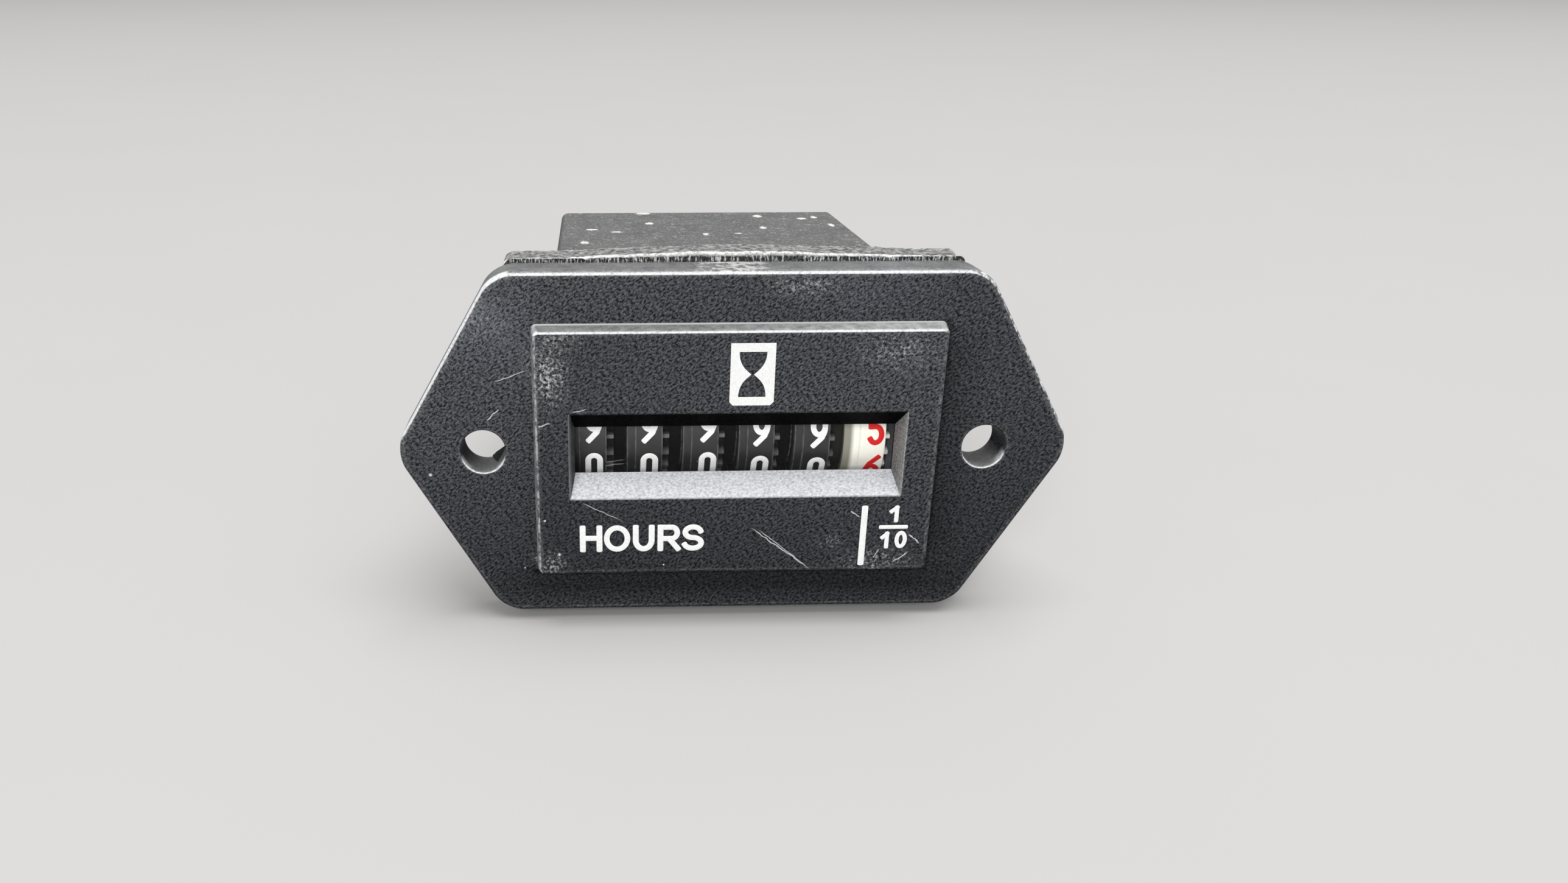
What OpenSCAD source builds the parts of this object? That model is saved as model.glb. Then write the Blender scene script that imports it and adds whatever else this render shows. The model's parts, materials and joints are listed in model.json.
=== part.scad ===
// Panel hour meter: six number wheels with a carry between each two, turned by a sealed motor.
// X runs right across the face, Y runs back through the panel and Z runs up.
// The origin lies midway between the two screw holes, on the back of the flange.

/* [Flange] */
// Width over the two rounded tips
flange_width = 67.6; // [64:0.1:76]
// Height between the two long edges
flange_height = 36.4; // [35:0.1:44]
// Thickness of the flange
flange_thickness = 4.2; // [3.6:0.1:6]
// Rounding of the two tips
tip_radius = 4; // [2:0.1:6]
// Rounding of the four other corners
corner_radius = 3.5; // [2:0.1:6]
// Rounding of the front edge
edge_radius = 0.5; // [0.2:0.05:1]
// Distance between the screw holes
hole_spacing = 50.8; // [49:0.1:54]
// Bore of each screw hole
hole_diameter = 4.5; // [3.6:0.1:5.2]

/* [Face and window] */
// Width of the raised face
face_width = 40; // [38:0.1:44]
// Height of the raised face
face_height = 25.7; // [22:0.1:30]
// How far the face stands off the flange
face_rise = 2; // [1.2:0.1:3]
// How far each side of the face slopes out to its foot
face_draft = 0.3; // [0.1:0.05:0.6]
// Rounding of the corners of the face
face_corner_radius = 0.6; // [0.4:0.05:1.2]
// How far the face covers the end wheels at each end of the window
window_cover = 0.55; // [0.3:0.05:0.8]
// Height of the window at the front
window_height = 9; // [8:0.1:10.4]
// How far each end of the window slopes in
window_end_slope = 0.5; // [0.2:0.05:0.8]
// How far the sill and the head of the window slope in
window_sill_slope = 1.95; // [1.4:0.05:2.4]
// Depth of the slopes
window_depth = 2.4; // [1.8:0.1:2.8]
// Thickness of the clear plate
lens_thickness = 1; // [0.6:0.1:1.4]

/* [Gasket and case] */
// Thickness of the sponge gasket
gasket_thickness = 4; // [2:0.1:5]
// How far the gasket stands out above and below the flange
gasket_proud = 0.65; // [0:0.05:1.2]
// Height of the case
case_height = 32.6; // [31.6:0.1:34]
// Depth of the case behind the flange
case_depth = 42.3; // [41:0.1:50]
// Thickness of the case side walls
case_wall = 0.85; // [0.7:0.05:1.2]
// Thickness of the case back wall
case_back_wall = 1.2; // [1:0.1:2]
// Rounding of the long edges of the case
case_corner_radius = 1.5; // [1.2:0.1:2.5]

/* [Number wheels] */
// Diameter of the number band
wheel_diameter = 14.8; // [13.6:0.1:15.6]
// Distance from one wheel to the next
wheel_pitch = 5.75; // [5.6:0.05:6]
// Width of the number band
band_width = 2.8; // [2.6:0.05:3]
// Width of the lower strip left of the band
strip_width = 0.85; // [0.7:0.05:1]
// Width of the toothed ring
gear_width = 0.75; // [0.6:0.05:0.9]
// Diameter of the shaft of the wheels
wheel_shaft_diameter = 2; // [1.6:0.1:2.4]
// Diameter of the shaft of the transfer pinions
pinion_shaft_diameter = 1; // [0.8:0.1:1.2]
// What each wheel shows at rest, from ten thousands to tenths
readings = [9.28, 9.28, 9.28, 9.2, 9.15, 5.2]; // [0:0.01:10]

/* [Motor and board] */
// Length of the sealed motor
motor_length = 12.9; // [10:0.1:15]
// Space between the motor and the board
motor_to_board = 3.9; // [3.4:0.1:6]
// Thickness of the board
board_thickness = 1.2; // [0.8:0.1:1.6]
// Space between the board and the back wall
board_to_back = 3.7; // [3.2:0.1:6]
// Distance between the two blades
terminal_spacing = 16; // [15:0.1:18]
// Width of each blade
blade_width = 6.3; // [4.8:0.1:6.6]
// Thickness of each blade
blade_thickness = 0.8; // [0.5:0.05:1]
// Length of each blade outside the case
blade_length = 8; // [6:0.1:10]

/* [Hidden] */
$fn = 96;
// Clearances
run_gap = 0.05;
side_gap = 0.1;
seat_gap = 0.05;
drum_gap = 0.22;
// Extra length of a cut, how far joined shapes run into each other, and the sheets that a hull spans
cut = 1;
bite = 0.1;
sheet = 0.02;
// Depths along Y
face_front = -(flange_thickness + face_rise);
lens_front = face_front + window_depth;
lens_back = lens_front + lens_thickness;
lens_margin = 1;
lens_to_wheels = 0.5;
wheel_room = 0.5;
// Counter
wheel_count = 6;
window_width = wheel_count * wheel_pitch - 2 * window_cover;
wheel_r = wheel_diameter / 2;
wheel_y = lens_back + lens_to_wheels + wheel_r;
gear_teeth = 20;
pinion_teeth = 8;
// Teeth in modules: height over the pitch line, depth under it, width at the foot and at the top
gear_tooth = [0.78, 1.03, 1.64, 0.69];
pinion_tooth = [0.91, 1.16, 1.29, 0.52];
tooth_sum = (gear_teeth + pinion_teeth) / 2;
centres = wheel_r + pinion_shaft_diameter / 2 + drum_gap;
tooth_module = centres / tooth_sum;
pinion_tip = tooth_module * (pinion_teeth / 2 + pinion_tooth[0]);
rim = 0.9;
rim_web = 0.9;
strip_drop = 0.15;
hub_wall = 1.1;
carry_ring = 0.9;
carry_gap = 0.27;
carry_fingers = 2;
finger_height = 0.75;
finger_width = 0.5;
finger_root = 0.3;
carry_r = centres - pinion_tip - carry_gap;
wheel_left = -band_width / 2 - strip_width;
wheel_right = band_width / 2 + gear_width;
carry_left = wheel_right + side_gap - wheel_pitch;
// The tenths wheel has a wider band without a strip, so its carry fingers are shorter
tenths_finger = 0.5;
tenths_left = carry_left + tenths_finger + side_gap;
digit_step = 36;
tooth_step = 360 / gear_teeth;
// The reading at which a tooth space of each wheel faces the pinion shaft
mesh_reading = 9.28;
// The reading at which the carry fingers of the hour wheels, and of the tenths wheel, pass
hour_carry = 9.5;
tenths_carry = 6.5;
pinion_angle = -120;
idler_angle = -180;
gear_phase = digit_step * mesh_reading + pinion_angle - tooth_step / 2;
pinion_y = wheel_y - centres * cos(pinion_angle);
pinion_z = -centres * sin(pinion_angle);
idler_y = wheel_y + centres;
drive_y = idler_y + centres;
gear_x = wheel_x(wheel_count - 1) + band_width / 2;
// Chassis
cheek = 0.6;
cheek_gap = 0.125;
cheek_in = wheel_x(wheel_count - 1) - wheel_left + cheek_gap;
cheek_out = cheek_in + cheek;
cheek_front = 0.4;
cheek_past_idler = 3;
cheek_back = idler_y + cheek_past_idler;
cheek_chamfer = 2.5;
web = 1;
web_gap = 0.5;
web_front = wheel_y + wheel_r + web_gap;
web_back = web_front + web;
idler_room = 0.5;
idler_pin_end = 0.3;
plate = 1;
plate_to_gear = 0.85;
plate_right = gear_x - plate_to_gear;
plate_left = plate_right - plate;
plate_past_ear = 2.7;
// Case
case_gap = 0.1;
case_in_w = 2 * (cheek_out + case_gap);
case_in_h = case_height - 2 * case_wall;
case_width = case_in_w + 2 * case_wall;
case_seat = 1.2;
case_in_back = case_depth - case_back_wall;
rear_edge = 0.6;
gasket_corner = 0.8;
gasket_to_hole = 0.15;
gasket_w = hole_spacing - hole_diameter - 2 * gasket_to_hole;
cheek_margin = 1.4;
cheek_half_h = case_in_h / 2 - cheek_margin;
// Chassis screws and the bosses that take them
boss_r = 2.2;
boss_height = 3.8;
boss_root = 0.5;
boss_from_cheek = 3.25;
boss_from_wall = 3.4;
boss_x = cheek_in - boss_from_cheek;
boss_z = case_in_h / 2 - boss_from_wall;
lug = 1.2;
pilot_end = 0.6;
screw_end = 1;
screw_r = 0.75;
screw_head_r = 1.5;
screw_head = 0.6;
screw_tail = 0.4;
// Board
board_back = case_in_back - board_to_back;
board_front = board_back - board_thickness;
board_gap = 0.25;
board_margin = 2.4;
board_w = 2 * (cheek_in - board_gap);
board_h = case_in_h - 2 * board_margin;
// Motor, which fills the room between the web and the board
motor_gap = 0.3;
motor_front = web_back + motor_gap;
motor_back = board_front - motor_to_board;
motor_r = (motor_back - motor_front) / 2;
motor_y = (motor_front + motor_back) / 2;
ear = 1;
ear_r = 1.8;
ear_z = motor_r + ear_r;
output_r = 1;
output_boss_r = 2;
output_depth = 2.4;
block_w = 4.8;
block_h = 5;
block_rise = 1.7;
block_root = 2;
block_x = 4.5;
pin_spacing = 2;
pin_r = 0.35;
pin_root = 1;
pin_tail = 0.8;
// Parts on the board: sizes and places
chip_w = 5;
chip_h = 4;
chip_thickness = 1.6;
chip_x = -4;
chip_z = 2;
crystal_r = 1.5;
crystal_length = 7.5;
crystal_x = -13;
crystal_z = 6.5;
capacitor_r = 4;
capacitor_length = 10;
capacitor_x = -9;
capacitor_z = -6;
// Terminals
tail_width = 2;
tail_end = 0.6;
shoulder = 1.8;
shoulder_margin = 0.85;
shoulder_width = blade_width + 2 * shoulder_margin;
blade_point = 1;
blade_hole_r = 0.82;
blade_hole_from_end = 3.2;

// Place of the number band of a wheel, counted from the left
function wheel_x(i) = (i - (wheel_count - 1) / 2) * wheel_pitch;

// Angle folded into half a tooth step to each side of zero
function fold(a) = a - tooth_step * round(a / tooth_step);

// How far the nearest tooth space of a wheel stands from a given direction
function space_off(i, direction) = fold(gear_phase + tooth_step / 2 - digit_step * readings[i] - direction);

// One straight-sided tooth for each angle, on a round root
function tooth_outline(angles, pitch_r, tooth) =
  let (
    tip = pitch_r + tooth_module * tooth[0],
    root = pitch_r - tooth_module * tooth[1],
    foot = tooth_module * tooth[2] / 2,
    top = tooth_module * tooth[3] / 2
  ) [
    for (a = angles)
      for (p = [[root, -foot], [tip, -top], [tip, top], [root, foot]])
        let (b = a + p[1] / p[0] * 180 / PI) [p[0] * cos(b), p[0] * sin(b)]
  ];

// A drawing in X and Z, made solid from one depth to another
module slab(y0, y1) {
  translate([0, y1, 0])
    rotate([90, 0, 0])
      linear_extrude(y1 - y0)
        children();
}

// A part drawn along Z is turned to lie along X, with its zero angle to the front
module along_x(x, y, z) {
  translate([x, y, z])
    rotate([0, 90, 0])
      rotate([0, 0, -90])
        children();
}

module round_rect(w, h, r) {
  square([w - 2 * r, h], center = true);
  square([w, h - 2 * r], center = true);
  for (x = [-1, 1])
    for (y = [-1, 1])
      translate([x * (w / 2 - r), y * (h / 2 - r)])
        circle(r);
}

// Outline of the case, grown outwards all round
module case_outline(grow) {
  round_rect(case_width + 2 * grow, case_height + 2 * grow, case_corner_radius + grow);
}

// Cylinder along Y, from one depth to another
module pin_y(x, z, r, y0, y1) {
  translate([x, y1, z])
    rotate([90, 0, 0])
      cylinder(r = r, h = y1 - y0);
}

// Cylinder along X
module pin_x(y, z, r, x0, x1) {
  translate([x0, y, z])
    rotate([0, 90, 0])
      cylinder(r = r, h = x1 - x0);
}

// Rounded corner of the flange, with the front edge rounded too
module flange_corner(x, z, r) {
  pin_y(x, z, r, edge_radius - flange_thickness, 0);
  for (a = [30, 60, 90])
    pin_y(x, z, r - edge_radius * (1 - cos(a)), edge_radius * (1 - sin(a)) - flange_thickness, 0);
}

module flange_plate() {
  tip_x = flange_width / 2 - tip_radius;
  point_x = tip_x + tip_radius / sin(60);
  corner_z = flange_height / 2 - corner_radius;
  corner_x = point_x - corner_z / tan(60) - corner_radius / sin(60);
  hull($fn = 48)
    for (sx = [-1, 1]) {
      flange_corner(sx * tip_x, 0, tip_radius, $fn = 48);
      for (sz = [-1, 1])
        flange_corner(sx * corner_x, sz * corner_z, corner_radius, $fn = 48);
    }
}

module raised_face() {
  lip = 0.2;
  // Each row: how much the outline grows, and the depth at which it does
  rows = [[2 * face_draft, -flange_thickness], [0, face_front + lip], [-2 * lip, face_front]];
  hull()
    for (row = rows)
      slab(row[1], row[1] + sheet, $fn = 32)
        round_rect(face_width + row[0], face_height + row[0], face_corner_radius, $fn = 32);
}

module window_cut() {
  hull() {
    slab(face_front - sheet, face_front)
      square([window_width, window_height], center = true);
    slab(lens_front, lens_front + sheet)
      square([window_width - 2 * window_end_slope, window_height - 2 * window_sill_slope], center = true);
  }
}

module front_bezel() {
  color("#202124")
    difference() {
      union() {
        flange_plate();
        raised_face();
        for (x = [-boss_x, boss_x])
          for (z = [-boss_z, boss_z])
            pin_y(x, z, boss_r, -boss_root, boss_height);
      }
      window_cut();
      // Pocket of the clear plate, and room for the wheels behind it
      slab(lens_front, cut)
        square([window_width + 2 * lens_margin, window_height], center = true);
      slab(lens_back, cut)
        square([2 * cheek_in, 2 * (wheel_r - wheel_room)], center = true);
      // Groove that takes the edge of the case
      slab(-case_seat, cut)
        difference() {
          case_outline(seat_gap);
          case_outline(-case_wall - seat_gap);
        }
      for (x = [-boss_x, boss_x])
        for (z = [-boss_z, boss_z])
          pin_y(x, z, screw_r, pilot_end, boss_height + cut);
      for (x = [-hole_spacing / 2, hole_spacing / 2])
        pin_y(x, 0, hole_diameter / 2, -flange_thickness - cut, cut);
    }
}

module window_lens() {
  color("#dfe6ea", 0.35)
    slab(lens_front, lens_back)
      square([window_width + 2 * (lens_margin - seat_gap), window_height - 2 * seat_gap], center = true);
}

module panel_gasket() {
  color("#2a2a2b")
    slab(0, gasket_thickness)
      difference() {
        round_rect(gasket_w, flange_height + 2 * gasket_proud, gasket_corner);
        case_outline(2 * seat_gap);
      }
}

module rear_case() {
  color("#26272a")
    difference() {
      union() {
        slab(-case_seat, case_depth - rear_edge)
          case_outline(0);
        hull() {
          slab(case_depth - rear_edge - sheet, case_depth - rear_edge, $fn = 32)
            case_outline(0, $fn = 32);
          slab(case_depth - sheet, case_depth, $fn = 32)
            case_outline(-rear_edge / 2, $fn = 32);
        }
      }
      slab(-case_seat - cut, case_in_back)
        case_outline(-case_wall);
      for (x = [-terminal_spacing / 2, terminal_spacing / 2])
        translate([x, 0, 0])
          slab(case_in_back - cut, case_depth + cut)
            square([blade_thickness + 2 * seat_gap, blade_width + 2 * seat_gap], center = true);
    }
}

// Rim, web and hub turned in one, with the ring that holds the carry fingers if there is one
module wheel_turning(carry, rim_left, band_left) {
  web_left = band_width / 2 - rim_web;
  ring_inner = carry_r - carry_ring;
  hub_r = wheel_shaft_diameter / 2 + hub_wall;
  rim_inner = wheel_r - rim;
  strip_r = wheel_r - strip_drop;
  hub_left = carry ? carry_left : rim_left;
  bore_r = wheel_shaft_diameter / 2 + run_gap;
  ring = [[ring_inner, web_left], [ring_inner, carry_left], [carry_r, carry_left], [carry_r, web_left]];
  strip = rim_left < band_left ? [[strip_r, rim_left], [strip_r, band_left]] : [];
  rotate_extrude()
    polygon(concat(
      [[bore_r, hub_left], [hub_r, hub_left], [hub_r, web_left]],
      carry ? ring : [],
      [[rim_inner, web_left], [rim_inner, rim_left]],
      strip,
      [[wheel_r, band_left], [wheel_r, band_width / 2], [bore_r, band_width / 2]]
    ));
}

module toothed_ring() {
  angles = [for (k = [0 : gear_teeth - 1]) gear_phase + k * tooth_step];
  polygon(tooth_outline(angles, tooth_module * gear_teeth / 2, gear_tooth));
}

module pinion_outline(count) {
  angles = [for (k = [0 : count - 1]) k * 360 / count];
  polygon(tooth_outline(angles, tooth_module * pinion_teeth / 2, pinion_tooth));
}

module number_wheel(i, carry_reading, rim_left = wheel_left, band_left = -band_width / 2) {
  carry = carry_reading > 0;
  along_x(wheel_x(i), wheel_y, 0)
    rotate([0, 0, -digit_step * readings[i]])
      union() {
        wheel_turning(carry, rim_left, band_left);
        difference() {
          translate([0, 0, band_width / 2 - bite])
            linear_extrude(gear_width + bite)
              toothed_ring();
          cylinder(r = wheel_shaft_diameter / 2 + run_gap, h = wheel_pitch);
        }
        if (carry)
          for (k = [0 : carry_fingers - 1])
            rotate([0, 0, digit_step * carry_reading + pinion_angle + (k - 0.5) * tooth_step])
              translate([carry_r - finger_root, -finger_width / 2, carry_left])
                cube([finger_root + finger_height, finger_width, rim_left - carry_left - side_gap]);
      }
}

// Turns with the wheel on its left: short teeth reach that wheel, long ones the fingers as well
module transfer_pinion(i, next_left = wheel_left) {
  z0 = band_width / 2 + side_gap;
  z1 = wheel_right + seat_gap;
  z2 = wheel_pitch + next_left - side_gap;
  along_x(wheel_x(i), pinion_y, pinion_z)
    rotate([0, 0, pinion_angle + 180 - gear_teeth / pinion_teeth * space_off(i, pinion_angle)])
      difference() {
        union() {
          translate([0, 0, z0])
            linear_extrude(z1 - z0)
              pinion_outline(pinion_teeth);
          translate([0, 0, z0])
            rotate([0, 0, 360 / pinion_teeth])
              linear_extrude(z2 - z0)
                pinion_outline(pinion_teeth / 2);
        }
        cylinder(r = pinion_shaft_diameter / 2 + run_gap, h = wheel_pitch);
      }
}

module wheel_ten_thousands() {
  color("#1b1b1d")
    number_wheel(0, 0);
}

module wheel_thousands() {
  color("#1b1b1d")
    number_wheel(1, hour_carry);
}

module wheel_hundreds() {
  color("#1b1b1d")
    number_wheel(2, hour_carry);
}

module wheel_tens() {
  color("#1b1b1d")
    number_wheel(3, hour_carry);
}

module wheel_units() {
  color("#1b1b1d")
    number_wheel(4, hour_carry);
}

module wheel_tenths() {
  color("#d9d3c3")
    number_wheel(5, tenths_carry, tenths_left, tenths_left);
}

module pinion_ten_thousands() {
  color("#c9c6ba")
    transfer_pinion(0);
}

module pinion_thousands() {
  color("#c9c6ba")
    transfer_pinion(1);
}

module pinion_hundreds() {
  color("#c9c6ba")
    transfer_pinion(2);
}

module pinion_tens() {
  color("#c9c6ba")
    transfer_pinion(3);
}

module pinion_units() {
  color("#c9c6ba")
    transfer_pinion(4, tenths_left);
}

module wheel_shaft() {
  color("#a9abad")
    pin_x(wheel_y, 0, wheel_shaft_diameter / 2, -cheek_out, cheek_out);
}

module pinion_shaft() {
  color("#a9abad")
    pin_x(pinion_y, pinion_z, pinion_shaft_diameter / 2, -cheek_out, cheek_out);
}

module cheek_plate(x0) {
  back = cheek_back - cheek_chamfer;
  side = cheek_half_h - cheek_chamfer;
  translate([x0, 0, 0])
    rotate([90, 0, 90])
      linear_extrude(cheek)
        polygon([
          [cheek_front, -cheek_half_h], [back, -cheek_half_h], [cheek_back, -side],
          [cheek_back, side], [back, cheek_half_h], [cheek_front, cheek_half_h]
        ]);
}

module chassis() {
  lug_w = cheek_in - boss_x + boss_r;
  plate_h = 2 * (ear_z + ear_r);
  color("#3a3c40")
    difference() {
      union() {
        cheek_plate(-cheek_out);
        cheek_plate(cheek_in);
        slab(web_front, web_back)
          square([2 * (cheek_in + bite), 2 * cheek_half_h], center = true);
        translate([plate_left, web_back - bite, -plate_h / 2])
          cube([plate, motor_y + ear_r + plate_past_ear - web_back, plate_h]);
        for (sx = [-1, 1])
          for (sz = [-1, 1])
            translate([sx * (cheek_in - lug_w / 2 + bite), 0, sz * boss_z])
              slab(boss_height, boss_height + lug)
                square([lug_w, 2 * boss_r], center = true);
      }
      // Room for the idler in the web
      translate([plate_right, web_front - cut, -pinion_tip - idler_room])
        cube([cheek_in - plate_right, web + 2 * cut, 2 * (pinion_tip + idler_room)]);
      pin_x(wheel_y, 0, wheel_shaft_diameter / 2, -cheek_out - cut, cheek_out + cut);
      pin_x(pinion_y, pinion_z, pinion_shaft_diameter / 2, -cheek_out - cut, cheek_out + cut);
      pin_x(idler_y, 0, pinion_shaft_diameter / 2, cheek_in - cut, cheek_out + cut);
      pin_x(drive_y, 0, output_boss_r + seat_gap, plate_left - cut, plate_right + cut);
      for (z = [-ear_z, ear_z])
        pin_x(motor_y, z, screw_r, plate_left - cut, plate_right + cut);
      for (x = [-boss_x, boss_x])
        for (z = [-boss_z, boss_z])
          pin_y(x, z, screw_r + seat_gap, boss_height - cut, boss_height + lug + cut);
    }
}

module chassis_screws() {
  head_y = boss_height + lug;
  color("#8d9092")
    for (x = [-boss_x, boss_x])
      for (z = [-boss_z, boss_z]) {
        pin_y(x, z, screw_r, screw_end, head_y + bite);
        pin_y(x, z, screw_head_r, head_y, head_y + screw_head);
      }
}

module idler_pinion() {
  turn = -gear_teeth / pinion_teeth * space_off(wheel_count - 1, idler_angle);
  color("#c9c6ba")
    along_x(gear_x, idler_y, 0)
      rotate([0, 0, turn])
        difference() {
          translate([0, 0, seat_gap])
            linear_extrude(gear_width - 2 * seat_gap)
              pinion_outline(pinion_teeth);
          cylinder(r = pinion_shaft_diameter / 2 + run_gap, h = wheel_pitch);
        }
}

// Pressed into the right cheek; the band of the tenths wheel keeps the idler on it
module idler_pin() {
  color("#a9abad")
    pin_x(idler_y, 0, pinion_shaft_diameter / 2, gear_x - idler_pin_end, cheek_out);
}

module drive_gear() {
  turn = space_off(wheel_count - 1, idler_angle) + tooth_step / 2 - gear_phase;
  color("#d7d2c2")
    along_x(gear_x, drive_y, 0)
      rotate([0, 0, turn])
        difference() {
          translate([0, 0, seat_gap])
            linear_extrude(gear_width - 2 * seat_gap)
              toothed_ring();
          cylinder(r = output_r, h = wheel_pitch);
        }
}

module output_shaft() {
  color("#a9abad")
    pin_x(drive_y, 0, output_r, plate_left - output_depth, gear_x + gear_width - seat_gap);
}

module gear_motor() {
  color("#b9bcbf")
    difference() {
      union() {
        pin_x(motor_y, 0, motor_r, plate_left - motor_length, plate_left);
        pin_x(drive_y, 0, output_boss_r, plate_left - cut, plate_right);
        for (z = [-1, 1]) {
          pin_x(motor_y, z * ear_z, ear_r, plate_left - ear, plate_left);
          translate([plate_left - ear, motor_y - ear_r, (z - 1) * ear_z / 2])
            cube([ear, 2 * ear_r, ear_z]);
        }
        translate([block_x - block_w / 2, motor_back - block_root, -block_h / 2])
          cube([block_w, block_root + block_rise, block_h]);
      }
      pin_x(drive_y, 0, output_r + run_gap, plate_left - output_depth - bite, plate_right + cut);
      for (z = [-ear_z, ear_z])
        pin_x(motor_y, z, screw_r, plate_left - ear - cut, plate_right);
      for (x = [-1, 1])
        pin_y(block_x + x * pin_spacing / 2, 0, pin_r, motor_back - pin_root, motor_back + block_rise + cut);
    }
}

module motor_screws() {
  color("#8d9092")
    for (z = [-ear_z, ear_z]) {
      pin_x(motor_y, z, screw_r, plate_left - ear - screw_tail, plate_right + bite);
      pin_x(motor_y, z, screw_head_r, plate_right, plate_right + screw_head);
    }
}

module motor_pins() {
  color("#c8a94e")
    for (x = [-1, 1])
      pin_y(block_x + x * pin_spacing / 2, 0, pin_r, motor_back - pin_root, board_back + pin_tail);
}

module circuit_board() {
  color("#2e6a45")
    difference() {
      slab(board_front, board_back)
        square([board_w, board_h], center = true);
      for (x = [-1, 1]) {
        pin_y(block_x + x * pin_spacing / 2, 0, pin_r, board_front - cut, board_back + cut);
        translate([x * terminal_spacing / 2, 0, 0])
          slab(board_front - cut, board_back + cut)
            square([blade_thickness, tail_width], center = true);
      }
    }
}

module control_chip() {
  color("#161618")
    translate([chip_x, board_front - chip_thickness, chip_z])
      cube([chip_w, chip_thickness, chip_h]);
}

module quartz_crystal() {
  color("#c4c7ca")
    pin_x(board_front - crystal_r, crystal_z, crystal_r, crystal_x, crystal_x + crystal_length);
}

module smoothing_capacitor() {
  color("#27324f")
    pin_y(capacitor_x, capacitor_z, capacitor_r, board_front - capacitor_length, board_front);
}

// A stamped blade: tail in the board, shoulder against the back wall, pointed end outside
module blade_terminal(x) {
  half = blade_width / 2;
  end = case_depth + blade_length;
  translate([x - blade_thickness / 2, 0, 0])
    rotate([90, 0, 90])
      linear_extrude(blade_thickness)
        difference() {
          union() {
            translate([board_front - tail_end, -tail_width / 2])
              square([case_in_back - board_front, tail_width]);
            translate([case_in_back - shoulder, -shoulder_width / 2])
              square([shoulder, shoulder_width]);
            polygon([
              [case_in_back - bite, -half], [end - blade_point, -half], [end, blade_point - half],
              [end, half - blade_point], [end - blade_point, half], [case_in_back - bite, half]
            ]);
          }
          translate([end - blade_hole_from_end, 0])
            circle(blade_hole_r);
        }
}

module terminal_positive() {
  color("#c9b26a")
    blade_terminal(terminal_spacing / 2);
}

module terminal_negative() {
  color("#c9b26a")
    blade_terminal(-terminal_spacing / 2);
}

front_bezel();
window_lens();
panel_gasket();
rear_case();
wheel_ten_thousands();
wheel_thousands();
wheel_hundreds();
wheel_tens();
wheel_units();
wheel_tenths();
pinion_ten_thousands();
pinion_thousands();
pinion_hundreds();
pinion_tens();
pinion_units();
wheel_shaft();
pinion_shaft();
chassis();
chassis_screws();
idler_pinion();
idler_pin();
drive_gear();
output_shaft();
gear_motor();
motor_screws();
motor_pins();
circuit_board();
control_chip();
quartz_crystal();
smoothing_capacitor();
terminal_positive();
terminal_negative();
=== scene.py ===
"""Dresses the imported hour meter: moulded shells, print, wheel numbers, finishes and a plain stage."""

import json
import math
from functools import reduce
from operator import or_

import bmesh
import bpy
from bpy.props import FloatProperty, FloatVectorProperty, PointerProperty
from mathutils import Euler, Matrix, Vector, noise


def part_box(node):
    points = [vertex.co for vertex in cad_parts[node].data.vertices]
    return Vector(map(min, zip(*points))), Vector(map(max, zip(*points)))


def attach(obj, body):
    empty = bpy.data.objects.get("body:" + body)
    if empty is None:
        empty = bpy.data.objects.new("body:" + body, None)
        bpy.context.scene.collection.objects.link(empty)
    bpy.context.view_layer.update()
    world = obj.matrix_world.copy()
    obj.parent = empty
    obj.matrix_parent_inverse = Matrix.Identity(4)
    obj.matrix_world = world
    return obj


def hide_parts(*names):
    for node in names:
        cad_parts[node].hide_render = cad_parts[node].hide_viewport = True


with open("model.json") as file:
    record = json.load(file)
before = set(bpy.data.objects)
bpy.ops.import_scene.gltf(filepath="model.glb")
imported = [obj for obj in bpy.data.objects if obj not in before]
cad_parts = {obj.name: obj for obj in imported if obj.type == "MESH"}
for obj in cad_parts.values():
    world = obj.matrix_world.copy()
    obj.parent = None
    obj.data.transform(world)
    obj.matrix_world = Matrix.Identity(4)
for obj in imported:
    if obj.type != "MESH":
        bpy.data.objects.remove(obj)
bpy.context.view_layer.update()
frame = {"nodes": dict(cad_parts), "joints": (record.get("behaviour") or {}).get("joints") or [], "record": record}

bl_info = {
    "name": "Hour Meter",
    "version": (1, 0, 0),
    "blender": (4, 5, 0),
    "location": "View3D > Sidebar > Hour Meter",
    "description": "Builds the shells, print, finishes and stage of a panel hour meter",
    "category": "Object",
}

MM = 0.001
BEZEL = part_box("front_bezel")
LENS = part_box("window_lens")
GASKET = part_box("panel_gasket")
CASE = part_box("rear_case")
SCREWS = frame["record"]["mounts"][0]["dims"]
PLACES = ["ten_thousands", "thousands", "hundreds", "tens", "units", "tenths"]
BLADES = ["terminal_positive", "terminal_negative"]
FLANGE_TURN = math.radians(60)
RIGHT_ANGLE = math.radians(90)
DIGIT_STEP = math.radians(36)
GRAIN_TURN = math.radians(-35)
SHARP = math.radians(35)
SPONGE_SHARP = math.radians(60)
CORNER_SEGMENTS = 10
CIRCLE_SEGMENTS = 48
WELD = 0.0005 * MM
BORDER = 1.2 * MM
BLADE = (0.8 * MM, 6.3 * MM)
SLOT_PLAY = 0.1 * MM
SPONGE_SPACING = 0.3 * MM
SPONGE_LAYERS = 10
SPONGE_LIP = 0.22 * MM
SPONGE_WAVE = 7 * MM
SPONGE_CELL = 0.55 * MM
SPONGE_FRACTAL = (1.0, 2.0, 3)
SPONGE_LEAN = 0.2
EVEN_WEIGHT = 80
PEN_STEPS = 3
SYMBOL_STEPS = 10
SYMBOL_FILM = 0.02 * MM
SYMBOL_PLACE = (1.14 * MM, 0.0, 8.49 * MM)
SPOT_CORE = 0.2
SCRATCH_CORE = 0.25
BLUNT_END = ((0.34, 1.0), (0.5, 0.62))
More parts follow.
